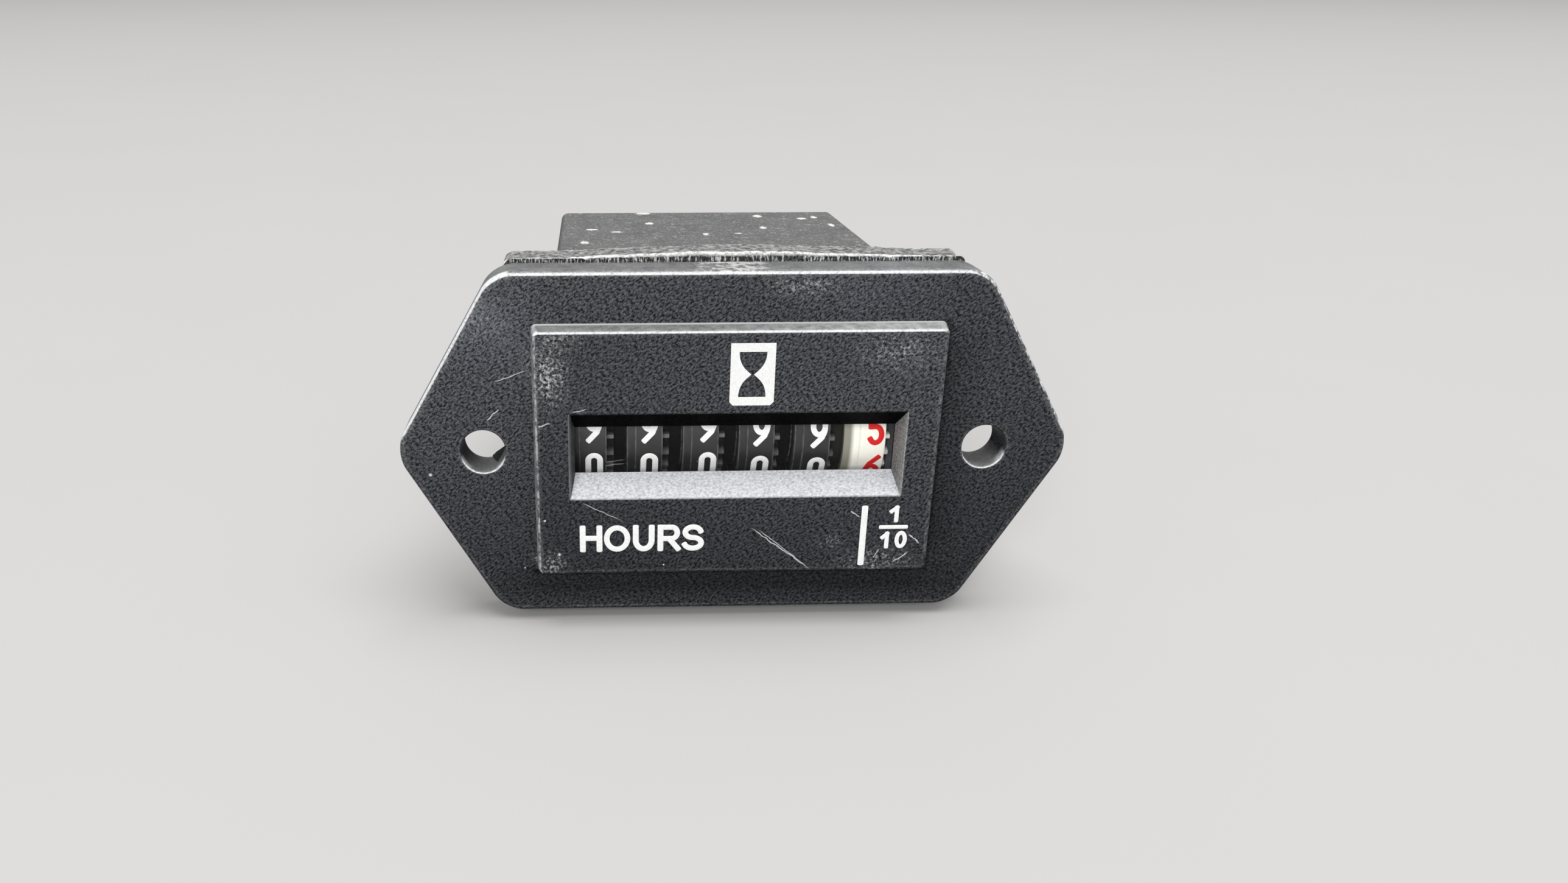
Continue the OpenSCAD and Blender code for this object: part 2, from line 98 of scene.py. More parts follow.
LAMPS = {"overhead": (2.5, (0.36, -0.5, 3.0)), "front": (1.4, (-0.7, -2.5, 1.1))}
FLOOR_REACH = 6.0
SENSOR_WIDTH = 36.0
NEAR_CLIP = 0.002


def length(name, text, value):
    """A length property, given in millimetres and kept in metres."""
    return FloatProperty(name=name, description=text, default=value * MM, unit="LENGTH", precision=5)


def colour(name, text, value):
    """A colour property in linear values."""
    return FloatVectorProperty(
        name=name, description=text, default=value, size=3, subtype="COLOR", min=0.0, max=1.0
    )


def angle(name, text, degrees):
    """An angle property, given in degrees."""
    return FloatProperty(name=name, description=text, default=math.radians(degrees), subtype="ANGLE")


def amount(name, text, value):
    """A plain number property."""
    return FloatProperty(name=name, description=text, default=value)


class MeterShell(bpy.types.PropertyGroup):
    """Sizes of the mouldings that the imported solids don't state by themselves."""

    flange_thickness: length("Flange thickness", "Front of the flange to its back", 4.2)
    tip_radius: length("Tip radius", "Rounding of the two pointed ends of the flange", 4.0)
    corner_radius: length("Corner radius", "Rounding of the four other flange corners", 3.5)
    edge_radius: length("Edge radius", "Rounding of the flange's front edge", 0.5)
    hole_edge: length("Hole edge", "Rounding at the mouth of the screw holes", 0.22)
    face_width: length("Face width", "Width of the raised face at its front", 40.0)
    face_height: length("Face height", "Height of the raised face at its front", 25.7)
    face_draft: length("Face draft", "How far the foot of the raised face stands out on each side", 0.3)
    face_corner: length("Face corner", "Rounding of the raised face's corners", 0.6)
    face_edge: length("Face edge", "Rounding of the raised face's front edge", 0.3)
    window_width: length("Window width", "Width of the window at the front", 33.4)
    window_height: length("Window height", "Height of the window at the front", 9.1)
    window_rise: length("Window rise", "Middle of the window's front edge above the wheels' axis", 0.05)
    sill_drop: length("Sill drop", "How far the sill slopes inwards", 1.95)
    head_drop: length("Head drop", "How far the head of the window slopes inwards", 2.2)
    end_drop: length("End drop", "How far the two ends of the window slope inwards", 0.5)
    window_edge: length("Window edge", "Rounding of the window's front edge", 0.12)
    lens_play: length("Lens play", "Room round the clear plate on each side", 0.05)
    room_height: length("Room height", "Height of the room for the wheels", 13.8)
    room_ledge: length("Room ledge", "Ledge beside the room, inside the groove of the case", 0.1)
    case_play: length("Case play", "Room round the case in its groove on each side", 0.05)
    case_wall: length("Case wall", "Wall of the rear case", 0.85)
    case_floor: length("Case floor", "Back wall of the rear case", 1.2)
    case_corner: length("Case corner", "Rounding of the long edges of the case", 0.9)
    case_edge: length("Case edge", "Rounding of the rear edge of the case", 0.5)
    screw_head: length("Screw head", "Radius of the heads of the chassis screws", 1.5)
    boss_radius: length("Boss radius", "Screw bosses on the back of the bezel", 2.2)
    boss_pilot: length("Boss pilot", "Radius of the pilot holes in the bosses", 0.75)
    boss_floor: length("Boss floor", "Bottom of the pilot holes behind the flange", 0.6)
    gasket_corner: length("Gasket corner", "Rounding of the gasket's corners", 0.8)
    gasket_wave: length("Gasket wave", "How far the cut edge of the sponge wanders", 0.16)
    gasket_rough: length("Gasket roughness", "Depth of the open cells on the cut edge", 0.09)
    gasket_crush: length("Gasket crush", "How far the front of its right end is pressed in", 0.8)
    gasket_bow: length("Gasket bow", "How far its top edge bulges in the middle and sinks at the ends", 0.3)
    flap_thickness: length("Flap thickness", "Torn flap of sponge in the left screw hole", 0.3)


class MeterPrint(bpy.types.PropertyGroup):
    """Sizes of the printed marks and of the wheel numbers."""

    letter_height: length("Letter height", "Height of the word under the window", 3.0)
    letter_stroke: length("Letter stroke", "Stroke of the word under the window", 0.6)
    bar_stroke: length("Bar stroke", "Width of the upright bar before the fraction", 0.64)
    tenth_stroke: length("Fraction stroke", "Stroke of the fraction", 0.44)
    digit_width: length("Digit width", "Width of a number on a wheel", 1.83)
    digit_height: length("Digit height", "Height of a number, along the rim", 3.75)
    digit_stroke: length("Digit stroke", "Stroke of a number", 0.6)
    film: length("Ink film", "How far the ink stands proud", 0.03)
    readings: FloatVectorProperty(
        name="Readings", description="What each wheel shows, from ten thousands to tenths", size=6,
        default=(9.37, 9.35, 9.36, 9.25, 9.19, 5.29),
    )
    offsets: FloatVectorProperty(
        name="Offsets", description="How far right of the middle of its wheel each number is printed",
        size=6, unit="LENGTH", default=[MM * step for step in (0.12, 0.07, 0.35, 0.07, 0.25, 0.35)],
    )


class MeterColours(bpy.types.PropertyGroup):
    """Colours of the finishes."""

    plastic: colour("Plastic", "Black moulding of the bezel", (0.004, 0.0042, 0.005))
    plastic_pale: colour("Plastic grain", "Pale tips of the moulded grain", (0.061, 0.0635, 0.0755))
    haze: colour("Haze", "Bluish haze on the handled plastic", (0.1, 0.107, 0.126))
    # Painted reflection: a pale satin grey for the light that the black sill reflects.
    sill: colour("Sill", "Satin sill under the window", (0.53, 0.54, 0.565))
    # Painted light: the right end of the window, which faces left, is coloured paler as if lit.
    window_end: colour("Window end", "Right end of the window", (0.3, 0.298, 0.29))
    # Also the colour of the painted highlights along the bezel's edges.
    worn: colour("Worn edge", "Rubbed and scratched plastic", (0.62, 0.63, 0.64))
    dust: colour("Dust", "Dust on upward faces", (0.48, 0.48, 0.47))
    speck: colour("Speck", "White specks and smears", (0.64, 0.64, 0.63))
    case: colour("Case", "Rear case", (0.022, 0.0225, 0.024))
    sponge: colour("Sponge", "Gasket", (0.008, 0.008, 0.0085))
    wheel: colour("Black wheel", "Five black number wheels", (0.0125, 0.0125, 0.0135))
    # Painted light: the black teeth lie deep in shade, and this grey makes them show as lit.
    wheel_ring: colour("Black wheel ring", "Toothed rings of the black wheels", (0.13, 0.13, 0.134))
    wheel_line: colour("Black wheel line", "Faint lines along the black wheels", (0.13, 0.13, 0.135))
    cream_line: colour("Cream wheel line", "Faint lines along the tenths wheel", (0.72, 0.7, 0.62))
    # Painted shade: the darker left strip of the tenths wheel.
    cream_shade: colour("Cream wheel shade", "Soiled left side of the tenths wheel", (0.25, 0.25, 0.195))
    cream: colour("Cream wheel", "Tenths wheel", (0.98, 0.965, 0.865))
    white_ink: colour("White ink", "Printed marks on the face", (0.7, 0.7, 0.695))
    number_ink: colour("Number ink", "Numbers of the black wheels", (0.95, 0.95, 0.94))
    red_ink: colour("Red ink", "Numbers of the tenths wheel", (0.72, 0.012, 0.014))


class MeterStage(bpy.types.PropertyGroup):
    """Camera, floor and light."""

    eye: FloatVectorProperty(
        name="Camera place", description="Where the camera stands", size=3, unit="LENGTH",
        subtype="TRANSLATION", default=(-0.0141583, -0.1061465, 0.0400859), precision=5,
    )
    turn: angle("Camera turn", "Camera's turn to the right", 1.729)
    dip: angle("Camera dip", "How far the camera looks down", 20.845)
    lens: amount("Lens", "Focal length in millimetres on a sensor 36 mm wide", 24.968)
    shift_x: amount("Shift X", "Sideways shift of the frame", 0.10105)
    shift_y: amount("Shift Y", "Upward shift of the frame", -0.00184)
    floor_drop: length("Floor drop", "Floor under the origin", -19.12)
    floor_slope: angle("Floor slope", "The meter rests on flange and gasket, so the floor leans", 3.84)
    floor_colour: colour("Floor", "Plain pale floor", (0.44, 0.435, 0.43))
    sky: amount("Sky", "Even light from all round", 0.4)
    overhead: amount("Overhead", "Power of the soft lamp above, in watts", 108.0)
    front: amount("Front", "Power of the soft lamp in front, in watts", 63.0)


class Ring:
    """A closed loop of edges at one depth along Y, which grows into walls and ledges."""

    def __init__(self, bm, edges, size, depth, centre=(0.0, 0.0)):
        self.bm = bm
        self.edges = edges
        self.size = size
        self.depth = depth
        self.centre = centre

    @classmethod
    def polygon(cls, bm, corners, rounding, size, depth, centre=(0.0, 0.0), spacing=None):
        """A ring from a few corners in x and z; rounding gives radius, turn and corner numbers."""
        kept = set(bm.faces)
        verts = [bm.verts.new((centre[0] + x, depth, centre[1] + z)) for x, z in corners]
        bm.faces.new(verts)
        for radius, turn, numbers in rounding:
            bmesh.ops.bevel(
                bm, geom=[verts[n] for n in numbers], offset=radius * math.tan(turn / 2),
                offset_type="OFFSET", affect="VERTICES", segments=CORNER_SEGMENTS, profile=0.5, material=-1,
            )
        face = next(f for f in bm.faces if f not in kept)
        for edge in list(face.edges):
            if spacing and edge.calc_length() > 2 * spacing:
                bmesh.ops.subdivide_edges(bm, edges=[edge], cuts=int(edge.calc_length() / spacing))
        edges = list(face.edges)
        bmesh.ops.delete(bm, geom=[face], context="FACES_ONLY")
        return cls(bm, edges, size, depth, centre)

    @classmethod
    def box(cls, bm, size, depth, radius, centre=(0.0, 0.0), spacing=None):
        """A rectangle with rounded corners."""
        x, z = size[0] / 2, size[1] / 2
        corners = [(-x, -z), (x, -z), (x, z), (-x, z)]
        rounding = [(radius, RIGHT_ANGLE, range(4))]
        return cls.polygon(bm, corners, rounding, size, depth, centre, spacing)

    @classmethod
    def circle(cls, bm, radius, depth, centre):
        """A circle."""
        place = Matrix.Translation((centre[0], depth, centre[1])) @ Matrix.Rotation(RIGHT_ANGLE, 4, "X")
        made = bmesh.ops.create_circle(bm, radius=radius, segments=CIRCLE_SEGMENTS, matrix=place)
        edges = list(dict.fromkeys(edge for vert in made["verts"] for edge in vert.link_edges))
        return cls(bm, edges, (2 * radius, 2 * radius), depth, centre)

    def step(self, size=None, depth=None, lift=0.0):
        """Extrudes the ring to a new size, depth or height, and returns the new ring."""
        size = size or self.size
        depth = self.depth if depth is None else depth
        made = bmesh.ops.extrude_edge_only(self.bm, edges=self.edges)["geom"]
        verts = [part for part in made if isinstance(part, bmesh.types.BMVert)]
        fresh = set(verts)
        edges = [part for part in made if isinstance(part, bmesh.types.BMEdge)]
        edges = [edge for edge in edges if fresh.issuperset(edge.verts)]
        home = Matrix.Translation((-self.centre[0], 0.0, -self.centre[1]))
        ratio = (size[0] / self.size[0], 1.0, size[1] / self.size[1])
        bmesh.ops.scale(self.bm, vec=ratio, space=home, verts=verts)
        bmesh.ops.translate(self.bm, vec=(0.0, depth - self.depth, lift), verts=verts)
        return Ring(self.bm, edges, size, depth, (self.centre[0], self.centre[1] + lift))

    def soften(self, radius, segments=4, wear=0.0):
        """Rounds the ring's edges and marks how much they are rubbed, a mark that the bezel's painted highlights
        follow too.
        """
        made = bmesh.ops.bevel(
            self.bm, geom=self.edges, offset=radius, offset_type="OFFSET", affect="EDGES",
            segments=segments, profile=0.5, material=-1,
        )
        layer = self.bm.verts.layers.float["wear"]
        for vert in made["verts"]:
            vert[layer] = wear


def grown(size, by):
    """A size in x and z made larger by the same on both."""
    return (size[0] + by, size[1] + by)


def span(box):
    """Width and height of a node's box."""
    return (box[1].x - box[0].x, box[1].z - box[0].z)


def fill(*rings):
    """A flat face between rings at one depth."""
    edges = [edge for ring in rings for edge in ring.edges]
    bmesh.ops.triangle_fill(rings[0].bm, use_beauty=True, edges=edges)


def shell_mesh():
    """An empty bmesh with a layer for rubbed edges."""
    bm = bmesh.new()
    bm.verts.layers.float.new("wear")
    return bm


def make_piece(name, bm, material, body, stands_for=(), sharp=SHARP):
    """Turns a bmesh into a finished piece that rides on a body."""
    bmesh.ops.remove_doubles(bm, verts=bm.verts, dist=WELD)
    bmesh.ops.recalc_face_normals(bm, faces=bm.faces)
    for face in bm.faces:
        face.smooth = True
    for edge in bm.edges:
        edge.smooth = edge.calc_face_angle(0.0) < sharp
    mesh = bpy.data.meshes.new(name)
    bm.to_mesh(mesh)
    bm.free()
    mesh.materials.append(material)
    piece = bpy.data.objects.new(name, mesh)
    bpy.context.scene.collection.objects.link(piece)
    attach(piece, body)
    if stands_for:
        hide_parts(*stands_for)
    return piece


def even_shading(piece):
    """Keeps large flats flat beside small roundings."""
    even = piece.modifiers.new("even_shading", "WEIGHTED_NORMAL")
    even.keep_sharp = True
    even.weight = EVEN_WEIGHT


def flange_ring(bm, shell):
    """The long hexagon of the flange at its front."""
    half_width, half_height = BEZEL[1].x, BEZEL[1].z
    tip = half_width - shell.tip_radius + shell.tip_radius / math.cos(FLANGE_TURN / 2)
    corner = tip - half_height / math.tan(FLANGE_TURN)
    corners = [
        (-corner, -half_height), (corner, -half_height), (tip, 0.0),
        (corner, half_height), (-corner, half_height), (-tip, 0.0),
    ]
    rounding = [
        (shell.tip_radius, FLANGE_TURN, (2, 5)),
        (shell.corner_radius, FLANGE_TURN, (0, 1, 3, 4)),
    ]
    return Ring.polygon(bm, corners, rounding, (2 * half_width, 2 * half_height), -shell.flange_thickness)


def build_boss(bm, shell, end, side):
    """A screw boss in line with a chassis screw; returns the ring at its foot."""
    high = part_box("chassis_screws")[1]
    centre = (end * (high.x - shell.screw_head), side * (high.z - shell.screw_head))
    base = Ring.circle(bm, shell.boss_radius, 0.0, centre)
    top = base.step(depth=BEZEL[1].y)
    pilot = top.step(size=(2 * shell.boss_pilot, 2 * shell.boss_pilot))
    fill(pilot.step(depth=shell.boss_floor))
    return base


def build_bezel(shell):
    """Flange, raised face, bevelled window, and the ledges and bosses behind."""
    bm = shell_mesh()
    front = BEZEL[0].y
    ledge = -shell.flange_thickness
    rim = flange_ring(bm, shell)
    front_border = rim.step(size=grown(rim.size, -2 * BORDER))
    back = rim.step(depth=0.0)
    rim.soften(shell.edge_radius, segments=6, wear=1.0)

    hole = 2 * SCREWS["hole_r_mm"] * MM
    mouths, exits = [], []
    for side in (-1, 1):
        centre = (side * SCREWS["spacing_x_mm"] / 2 * MM, 0.0)
        mouth = Ring.circle(bm, hole / 2 + BORDER / 2, ledge, centre)
        lip = mouth.step(size=(hole, hole))
        exits.append(lip.step(depth=0.0))
        lip.soften(shell.hole_edge, wear=1.0)
        mouths.append(mouth)

    face = (shell.face_width, shell.face_height)
    foot = Ring.box(bm, grown(face, 2 * shell.face_draft), ledge, shell.face_corner)
    crest = foot.step(size=face, depth=front)
    plain = crest.step(size=grown(face, -2 * BORDER))
    crest.soften(shell.face_edge, segments=5, wear=1.0)

    window = (shell.window_width, shell.window_height)
    apron = Ring.box(bm, grown(window, BORDER), front, shell.window_edge, (0.0, shell.window_rise))
    brim = apron.step(size=window)
    throat = brim.step(
        size=(window[0] - 2 * shell.end_drop, window[1] - shell.sill_drop - shell.head_drop),
        depth=LENS[0].y, lift=(shell.sill_drop - shell.head_drop) / 2,
    )
    brim.soften(shell.window_edge, wear=0.85)
    pocket = throat.step(size=grown(span(LENS), 2 * shell.lens_play), lift=-throat.centre[1])
    seat = pocket.step(depth=LENS[1].y)
    shoulder = seat.step(size=(seat.size[0], shell.room_height))
    floor = CASE[0].y
    room = shoulder.step(depth=floor)

    groove = Ring.box(bm, grown(span(CASE), 2 * shell.case_play), 0.0, shell.case_corner)
    island_width, island_top = grown(span(CASE), -2 * (shell.case_wall + shell.case_play))
    island_height = (island_top - shell.room_height) / 2 - shell.room_ledge
    islands = []
    for side in (-1, 1):
        centre = (0.0, side * (island_top - island_height) / 2)
        island = Ring.box(bm, (island_width, island_height), floor, shell.case_corner, centre)
        islands.append(island)
        bosses = [build_boss(bm, shell, end, side) for end in (-1, 1)]
        fill(island.step(depth=0.0), *bosses)

    fill(front_border, foot, *mouths)
    fill(plain, apron)
    fill(back, groove, *exits)
    fill(groove.step(depth=floor), room, *islands)
    return bm


def build_case(shell):
    """Rear case: an open box with two upright slots in its back wall."""
    bm = shell_mesh()
    size = span(CASE)
    back = CASE[1].y
    inside = back - shell.case_floor
    mouth = Ring.box(bm, size, CASE[0].y, shell.case_corner)
    rear = mouth.step(depth=inside).step(depth=back)
    rear_border = rear.step(size=grown(size, -2 * shell.case_corner))
    rear.soften(shell.case_edge, wear=1.0)
    inner = mouth.step(size=grown(size, -2 * shell.case_wall))
    inner_back = inner.step(depth=inside)
    outer_slots, inner_slots = [], []
    for blade in BLADES:
        low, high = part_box(blade)
        middle = ((low.x + high.x) / 2, (low.z + high.z) / 2)
        slot = Ring.box(bm, grown(BLADE, SLOT_PLAY), back, SLOT_PLAY, middle)
        outer_slots.append(slot)
        inner_slots.append(slot.step(depth=inside))
    fill(rear_border, *outer_slots)
    fill(inner_back, *inner_slots)
    return bm


def sponge_push(point, shell):
    """How far a point on the cut edge of the sponge moves outwards."""
    wave = noise.noise(point / SPONGE_WAVE) * shell.gasket_wave
    rough = noise.fractal(point / SPONGE_CELL, *SPONGE_FRACTAL) * shell.gasket_rough
    return wave + rough


# Corners of the flap in millimetres.
FLAP = [
    (-23.25, 0.0, -0.95), (-24.39, -0.3, -1.5), (-24.86, -0.3, -1.95), (-24.8, -0.3, -2.18),
    (-24.17, -0.3, -2.06), (-24.2, -2.3, -1.85), (-23.75, -0.6, -1.5), (-23.3, 0.0, -1.3),
]


def torn_flap(shell):
    """The torn flap of sponge that pokes into the left screw hole."""
    bm = shell_mesh()
    face = bm.faces.new([bm.verts.new(Vector(corner) * MM) for corner in FLAP])
    faces = bmesh.ops.triangulate(bm, faces=[face])["faces"]
    bmesh.ops.solidify(bm, geom=faces, thickness=shell.flap_thickness)
    return bm


def build_gasket(shell):
    """Sponge plate with a rough cut edge, torn a little on the left."""
    bm = shell_mesh()
    thickness = GASKET[1].y
    size = span(GASKET)
    front = Ring.box(bm, size, 0.0, shell.gasket_corner, spacing=SPONGE_SPACING)
    front_border = front.step(size=grown(size, -BORDER))
    edge = front
    for layer in range(1, SPONGE_LAYERS + 1):
        edge = edge.step(depth=thickness * layer / SPONGE_LAYERS)
    back_border = edge.step(size=grown(size, -BORDER))
    for lip in (front, edge):
        lip.soften(SPONGE_LIP, segments=3, wear=1.0)
    opening = grown(span(CASE), 4 * shell.case_play)
    front_opening = Ring.box(bm, opening, 0.0, shell.case_corner)
    back_opening = front_opening.step(depth=thickness)
    fill(front_border, front_opening)
    fill(back_border, back_opening)
    bmesh.ops.recalc_face_normals(bm, faces=bm.faces)
    bm.normal_update()
    inner_x, inner_z = opening[0] / 2 + BORDER, opening[1] / 2 + BORDER / 2
    for vert in bm.verts:
        out = Vector((vert.normal.x, 0.0, vert.normal.z))
        if abs(vert.co.x) < inner_x and abs(vert.co.z) < inner_z or out.length < SPONGE_LEAN:
            continue
        vert.co += out.normalized() * sponge_push(vert.co, shell)
        if vert.co.z > inner_z:
            vert.co.z += shell.gasket_bow * math.cos(math.pi * vert.co.x / GASKET[1].x)
        if vert.co.x > inner_x:
            vert.co.x -= shell.gasket_crush * (1.0 - vert.co.y / thickness)
    return joined([bm, torn_flap(shell)])


def line(start, end, count=10):
    """Points along a straight stroke."""
    steps = [k / (count - 1) for k in range(count)]
    return [(start[0] + (end[0] - start[0]) * t, start[1] + (end[1] - start[1]) * t) for t in steps]


def arc(centre, radii, start, end, count=22):
    """Points along an arc of an ellipse, angles in degrees from +X towards +Z."""
    angles = [math.radians(start + (end - start) * k / (count - 1)) for k in range(count)]
    return [(centre[0] + radii[0] * math.cos(a), centre[1] + radii[1] * math.sin(a)) for a in angles]


def opened(*paths):
    """Strokes with two ends."""
    return [(path, False) for path in paths]


def looped(*paths):
    """Strokes that run back to their first point."""
    return [(path[:-1], True) for path in paths]


def digit_strokes(round_end):
    """Strokes of the numbers 0 to 9 in a box from -1 to 1.

    round_end is the height of a half-round end in that box."""
    top, low = 1.0 - round_end, -1.0 + round_end
    tail = arc((-0.75, 0.45), (1.75, 1.0), 0, -38, 10) + line((0.52, -0.3), (-0.8, -0.84))
    nine = looped(arc((0.0, 0.45), (1.0, 0.55), 0, 360, 40)) + opened(tail)
    six = [([(-x, -z) for x, z in path], closed) for path, closed in nine]
    left = arc((0, top), (1, round_end), 0, 180) + line((-1, top), (-1, low))[1:-1]
    right = arc((0, low), (1, round_end), 180, 360) + line((1, low), (1, top))[1:]
    swan = arc((0, 0.55), (0.95, 0.45), 165, -35) + line((0.6, 0.18), (-0.9, -1))
    belly = line((-0.6, 0.1), (0, 0.1)) + arc((0, -0.45), (1, 0.55), 90, -146)
    return [
        looped(left + right),
        opened(line((0.2, 1), (0.2, -1)), line((0.2, 1), (-0.55, 0.6))),
        opened(swan, line((-0.9, -1), (1, -1))),
        opened(arc((0, 0.5), (0.9, 0.5), 160, -90), arc((0, -0.5), (1, 0.5), 90, -160)),
        opened(line((0.45, 1), (0.45, -1)), line((0.45, 1), (-1, -0.4)), line((-1, -0.4), (1, -0.4))),
        opened(line((0.85, 1), (-0.8, 1)), line((-0.8, 1), (-0.8, 0.1)), belly),
        six,
        opened(line((-1, 1), (1, 1)), line((1, 1), (-0.3, -1))),
        looped(arc((0, 0.52), (0.85, 0.48), 0, 360, 40), arc((0, -0.48), (1, 0.52), 0, 360, 40)),
        nine,
    ]


LETTERS = {
    "H": opened(line((-1, 1), (-1, -1)), line((1, 1), (1, -1)), line((-1, 0.05), (1, 0.05))),
    "O": looped(arc((0, 0), (1, 1), 0, 360, 48)),
    "U": opened(line((-1, 1), (-1, -0.2)) + arc((0, -0.2), (1, 0.8), 180, 360) + line((1, -0.2), (1, 1))),
    "R": opened(
        line((-1, 1), (-1, -1)),
        line((-1, 1), (0.3, 1)) + arc((0.3, 0.47), (0.62, 0.53), 90, -90) + line((0.3, -0.06), (-1, -0.06)),
        line((0.25, -0.3), (1, -1)),
    ),
    "S": opened(arc((0, 0.5), (0.92, 0.5), 15, 255, 26) + arc((0, -0.5), (1, 0.5), 75, -160, 26)),
}


def run_out(path, width):
    """A path with widths, both ends run out to the edge of its box and their corners taken off."""
    ends = []
    for tip, before in ((path[-1], path[-2]), (path[0], path[1])):
        way = (Vector(tip) - Vector(before)).normalized() * width
        ends.append([(*(Vector(tip) + way * reach), size) for reach, size in BLUNT_END])
    return [*reversed(ends[1]), *[(x, z, 1.0) for x, z in path[1:-1]], *ends[0]]


def curve_mesh(curve):
    """A bmesh of a curve, which is used up."""
    holder = bpy.data.objects.new(curve.name, curve)
    mesh = bpy.data.meshes.new_from_object(holder)
    bm = bmesh.new()
    bm.from_mesh(mesh)
    bpy.data.objects.remove(holder)
    bpy.data.curves.remove(curve)
    bpy.data.meshes.remove(mesh)
    return bm


def ink(strokes, width, film):
    """Pen strokes with blunt ends as a thin film about the plane y = 0."""
    curve = bpy.data.curves.new("ink", "CURVE")
    curve.dimensions = "3D"
    curve.bevel_depth = width / 2
    curve.bevel_resolution = PEN_STEPS
    curve.use_fill_caps = True
    for path, closed in strokes:
        points = [(x, z, 1.0) for x, z in path] if closed else run_out(path, width)
        spline = curve.splines.new("POLY")
        spline.points.add(len(points) - 1)
        spline.use_cyclic_u = closed
        for point, (x, z, size) in zip(spline.points, points):
            point.co = (x, 0.0, z, 1.0)
            point.radius = size
    bm = curve_mesh(curve)
    bmesh.ops.scale(bm, vec=(1.0, 2 * film / width, 1.0), verts=bm.verts)
    return bm


def joined(meshes):
    """Several bmeshes in one."""
    whole = bmesh.new()
    for bm in meshes:
        part = bpy.data.meshes.new("part")
        bm.to_mesh(part)
        bm.free()
        whole.from_mesh(part)
        bpy.data.meshes.remove(part)
    return whole


def drawn(strokes, half, middle=(0.0, 0.0)):
    """Strokes from their box of -1 to 1 into a box of half sizes about a middle."""
    return [
        ([(middle[0] + x * half[0], middle[1] + z * half[1]) for x, z in path], closed)
        for path, closed in strokes
    ]


def placed(strokes, left, right, low, high, width):
    """Strokes into a box on the face in millimetres, outer edges of the ink included."""
    middle = ((left + right) * MM / 2, (low + high) * MM / 2)
    half = (((right - left) * MM - width) / 2, ((high - low) * MM - width) / 2)
    return drawn(strokes, half, middle)


def wheel_centre(place):
    """Where a wheel's axis crosses its band, from its joint."""
    return next(joint["pos_m"] for joint in frame["joints"] if joint["name"] == place + "_spin")


def build_numbers(marks, place, reading, offset):
    """Ten numbers wrapped round the rim of one wheel."""
    middle_x, axis, _ = wheel_centre(place)
    centre = middle_x + offset
    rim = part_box("wheel_tenths")[1].z
    half_width = (marks.digit_width - marks.digit_stroke) / 2
    half_height = (marks.digit_height - marks.digit_stroke) / 2
    glyphs = digit_strokes(half_width / half_height)
    numbers = []
    for digit, strokes in enumerate(glyphs):
        bm = ink(drawn(strokes, (half_width, half_height)), marks.digit_stroke, marks.film)
        middle = (reading - digit) * DIGIT_STEP
        for vert in bm.verts:
            turn = middle + vert.co.z / rim
            reach = rim - vert.co.y
            vert.co = (centre + vert.co.x, axis - reach * math.cos(turn), reach * math.sin(turn))
        numbers.append(bm)
    return joined(numbers)


def build_symbol():
    """The hourglass sign: a white plate with the glass left open."""
    curve = bpy.data.curves.new("symbol", "CURVE")
    curve.dimensions = "2D"
    curve.fill_mode = "BOTH"
    curve.resolution_u = SYMBOL_STEPS
    right, high, bend = 2.17, 3.15, 0.35
    plate = [
        (bend - right, -high), (right - bend, -high), (right, bend - high),
        (right, high), (-right, high), (-right, bend - high),
    ]
    wide, tall, neck = 1.34, 2.28, 0.13
    round_z, slope_x, slope_z = 0.95, 0.62, 0.45
    glass = [
        ((-wide, tall), (-wide, tall), (-wide, round_z)),
        ((-neck, 0.0), (-slope_x, slope_z), (-slope_x, -slope_z)),
        ((-wide, -tall), (-wide, -round_z), (-wide, -tall)),
        ((wide, -tall), (wide, -tall), (wide, -round_z)),
        ((neck, 0.0), (slope_x, -slope_z), (slope_x, slope_z)),
        ((wide, tall), (wide, round_z), (wide, tall)),
    ]
    outlines = [[(point, point, point) for point in plate], glass]
    for outline in outlines:
        spline = curve.splines.new("BEZIER")
        spline.bezier_points.add(len(outline) - 1)
        spline.use_cyclic_u = True
        for point, (place, before, after) in zip(spline.bezier_points, outline):
            point.handle_left_type = "FREE"
            point.handle_right_type = "FREE"
            point.co = Vector((*place, 0.0)) * MM
            point.handle_left = Vector((*before, 0.0)) * MM
            point.handle_right = Vector((*after, 0.0)) * MM
    curve.extrude = SYMBOL_FILM
    bm = curve_mesh(curve)
    bmesh.ops.rotate(bm, cent=(0, 0, 0), matrix=Matrix.Rotation(RIGHT_ANGLE, 3, "X"), verts=bm.verts)
    return bm


class Mask:
    """A value at each point of a finish; sums are written as with numbers, and | takes the larger of two."""

    def __init__(self, make, socket):
        self.make = make
        self.socket = socket

    def sum(self, operation, other=0.0):
        """One sum."""
        return self.make.value("ShaderNodeMath", "Value", {0: self, 1: other}, operation=operation)

    def __add__(self, other):
        return self.sum("ADD", other)

    def __sub__(self, other):
        return self.sum("SUBTRACT", other)

    def __mul__(self, other):
        return self.sum("MULTIPLY", other)

    def __truediv__(self, other):
        return self.sum("DIVIDE", other)

    def __or__(self, other):
        return self.sum("MAXIMUM", other)

    def __abs__(self):
        return self.sum("ABSOLUTE")

    def ramp(self, low, high, start=0.0, end=1.0):
        """Maps low to high on to start to end, held at both ends."""
        inputs = {"Value": self, "From Min": low, "From Max": high, "To Min": start, "To Max": end}
        return self.make.value("ShaderNodeMapRange", "Result", inputs)

    def between(self, start, end):
        """Start where the mask is 0, end where it is 1."""
        return self.ramp(0.0, 1.0, start, end)

    def axes(self):
        """X, Y and Z of a vector."""
        made = self.make.node("ShaderNodeSeparateXYZ", {"Vector": self})
        return [Mask(self.make, part) for part in made.outputs]


def scaled(tint, by):
    """A colour made darker or paler."""
    return [part * by for part in tint]


def largest(masks):
    """The largest of several masks."""
    return reduce(or_, masks)


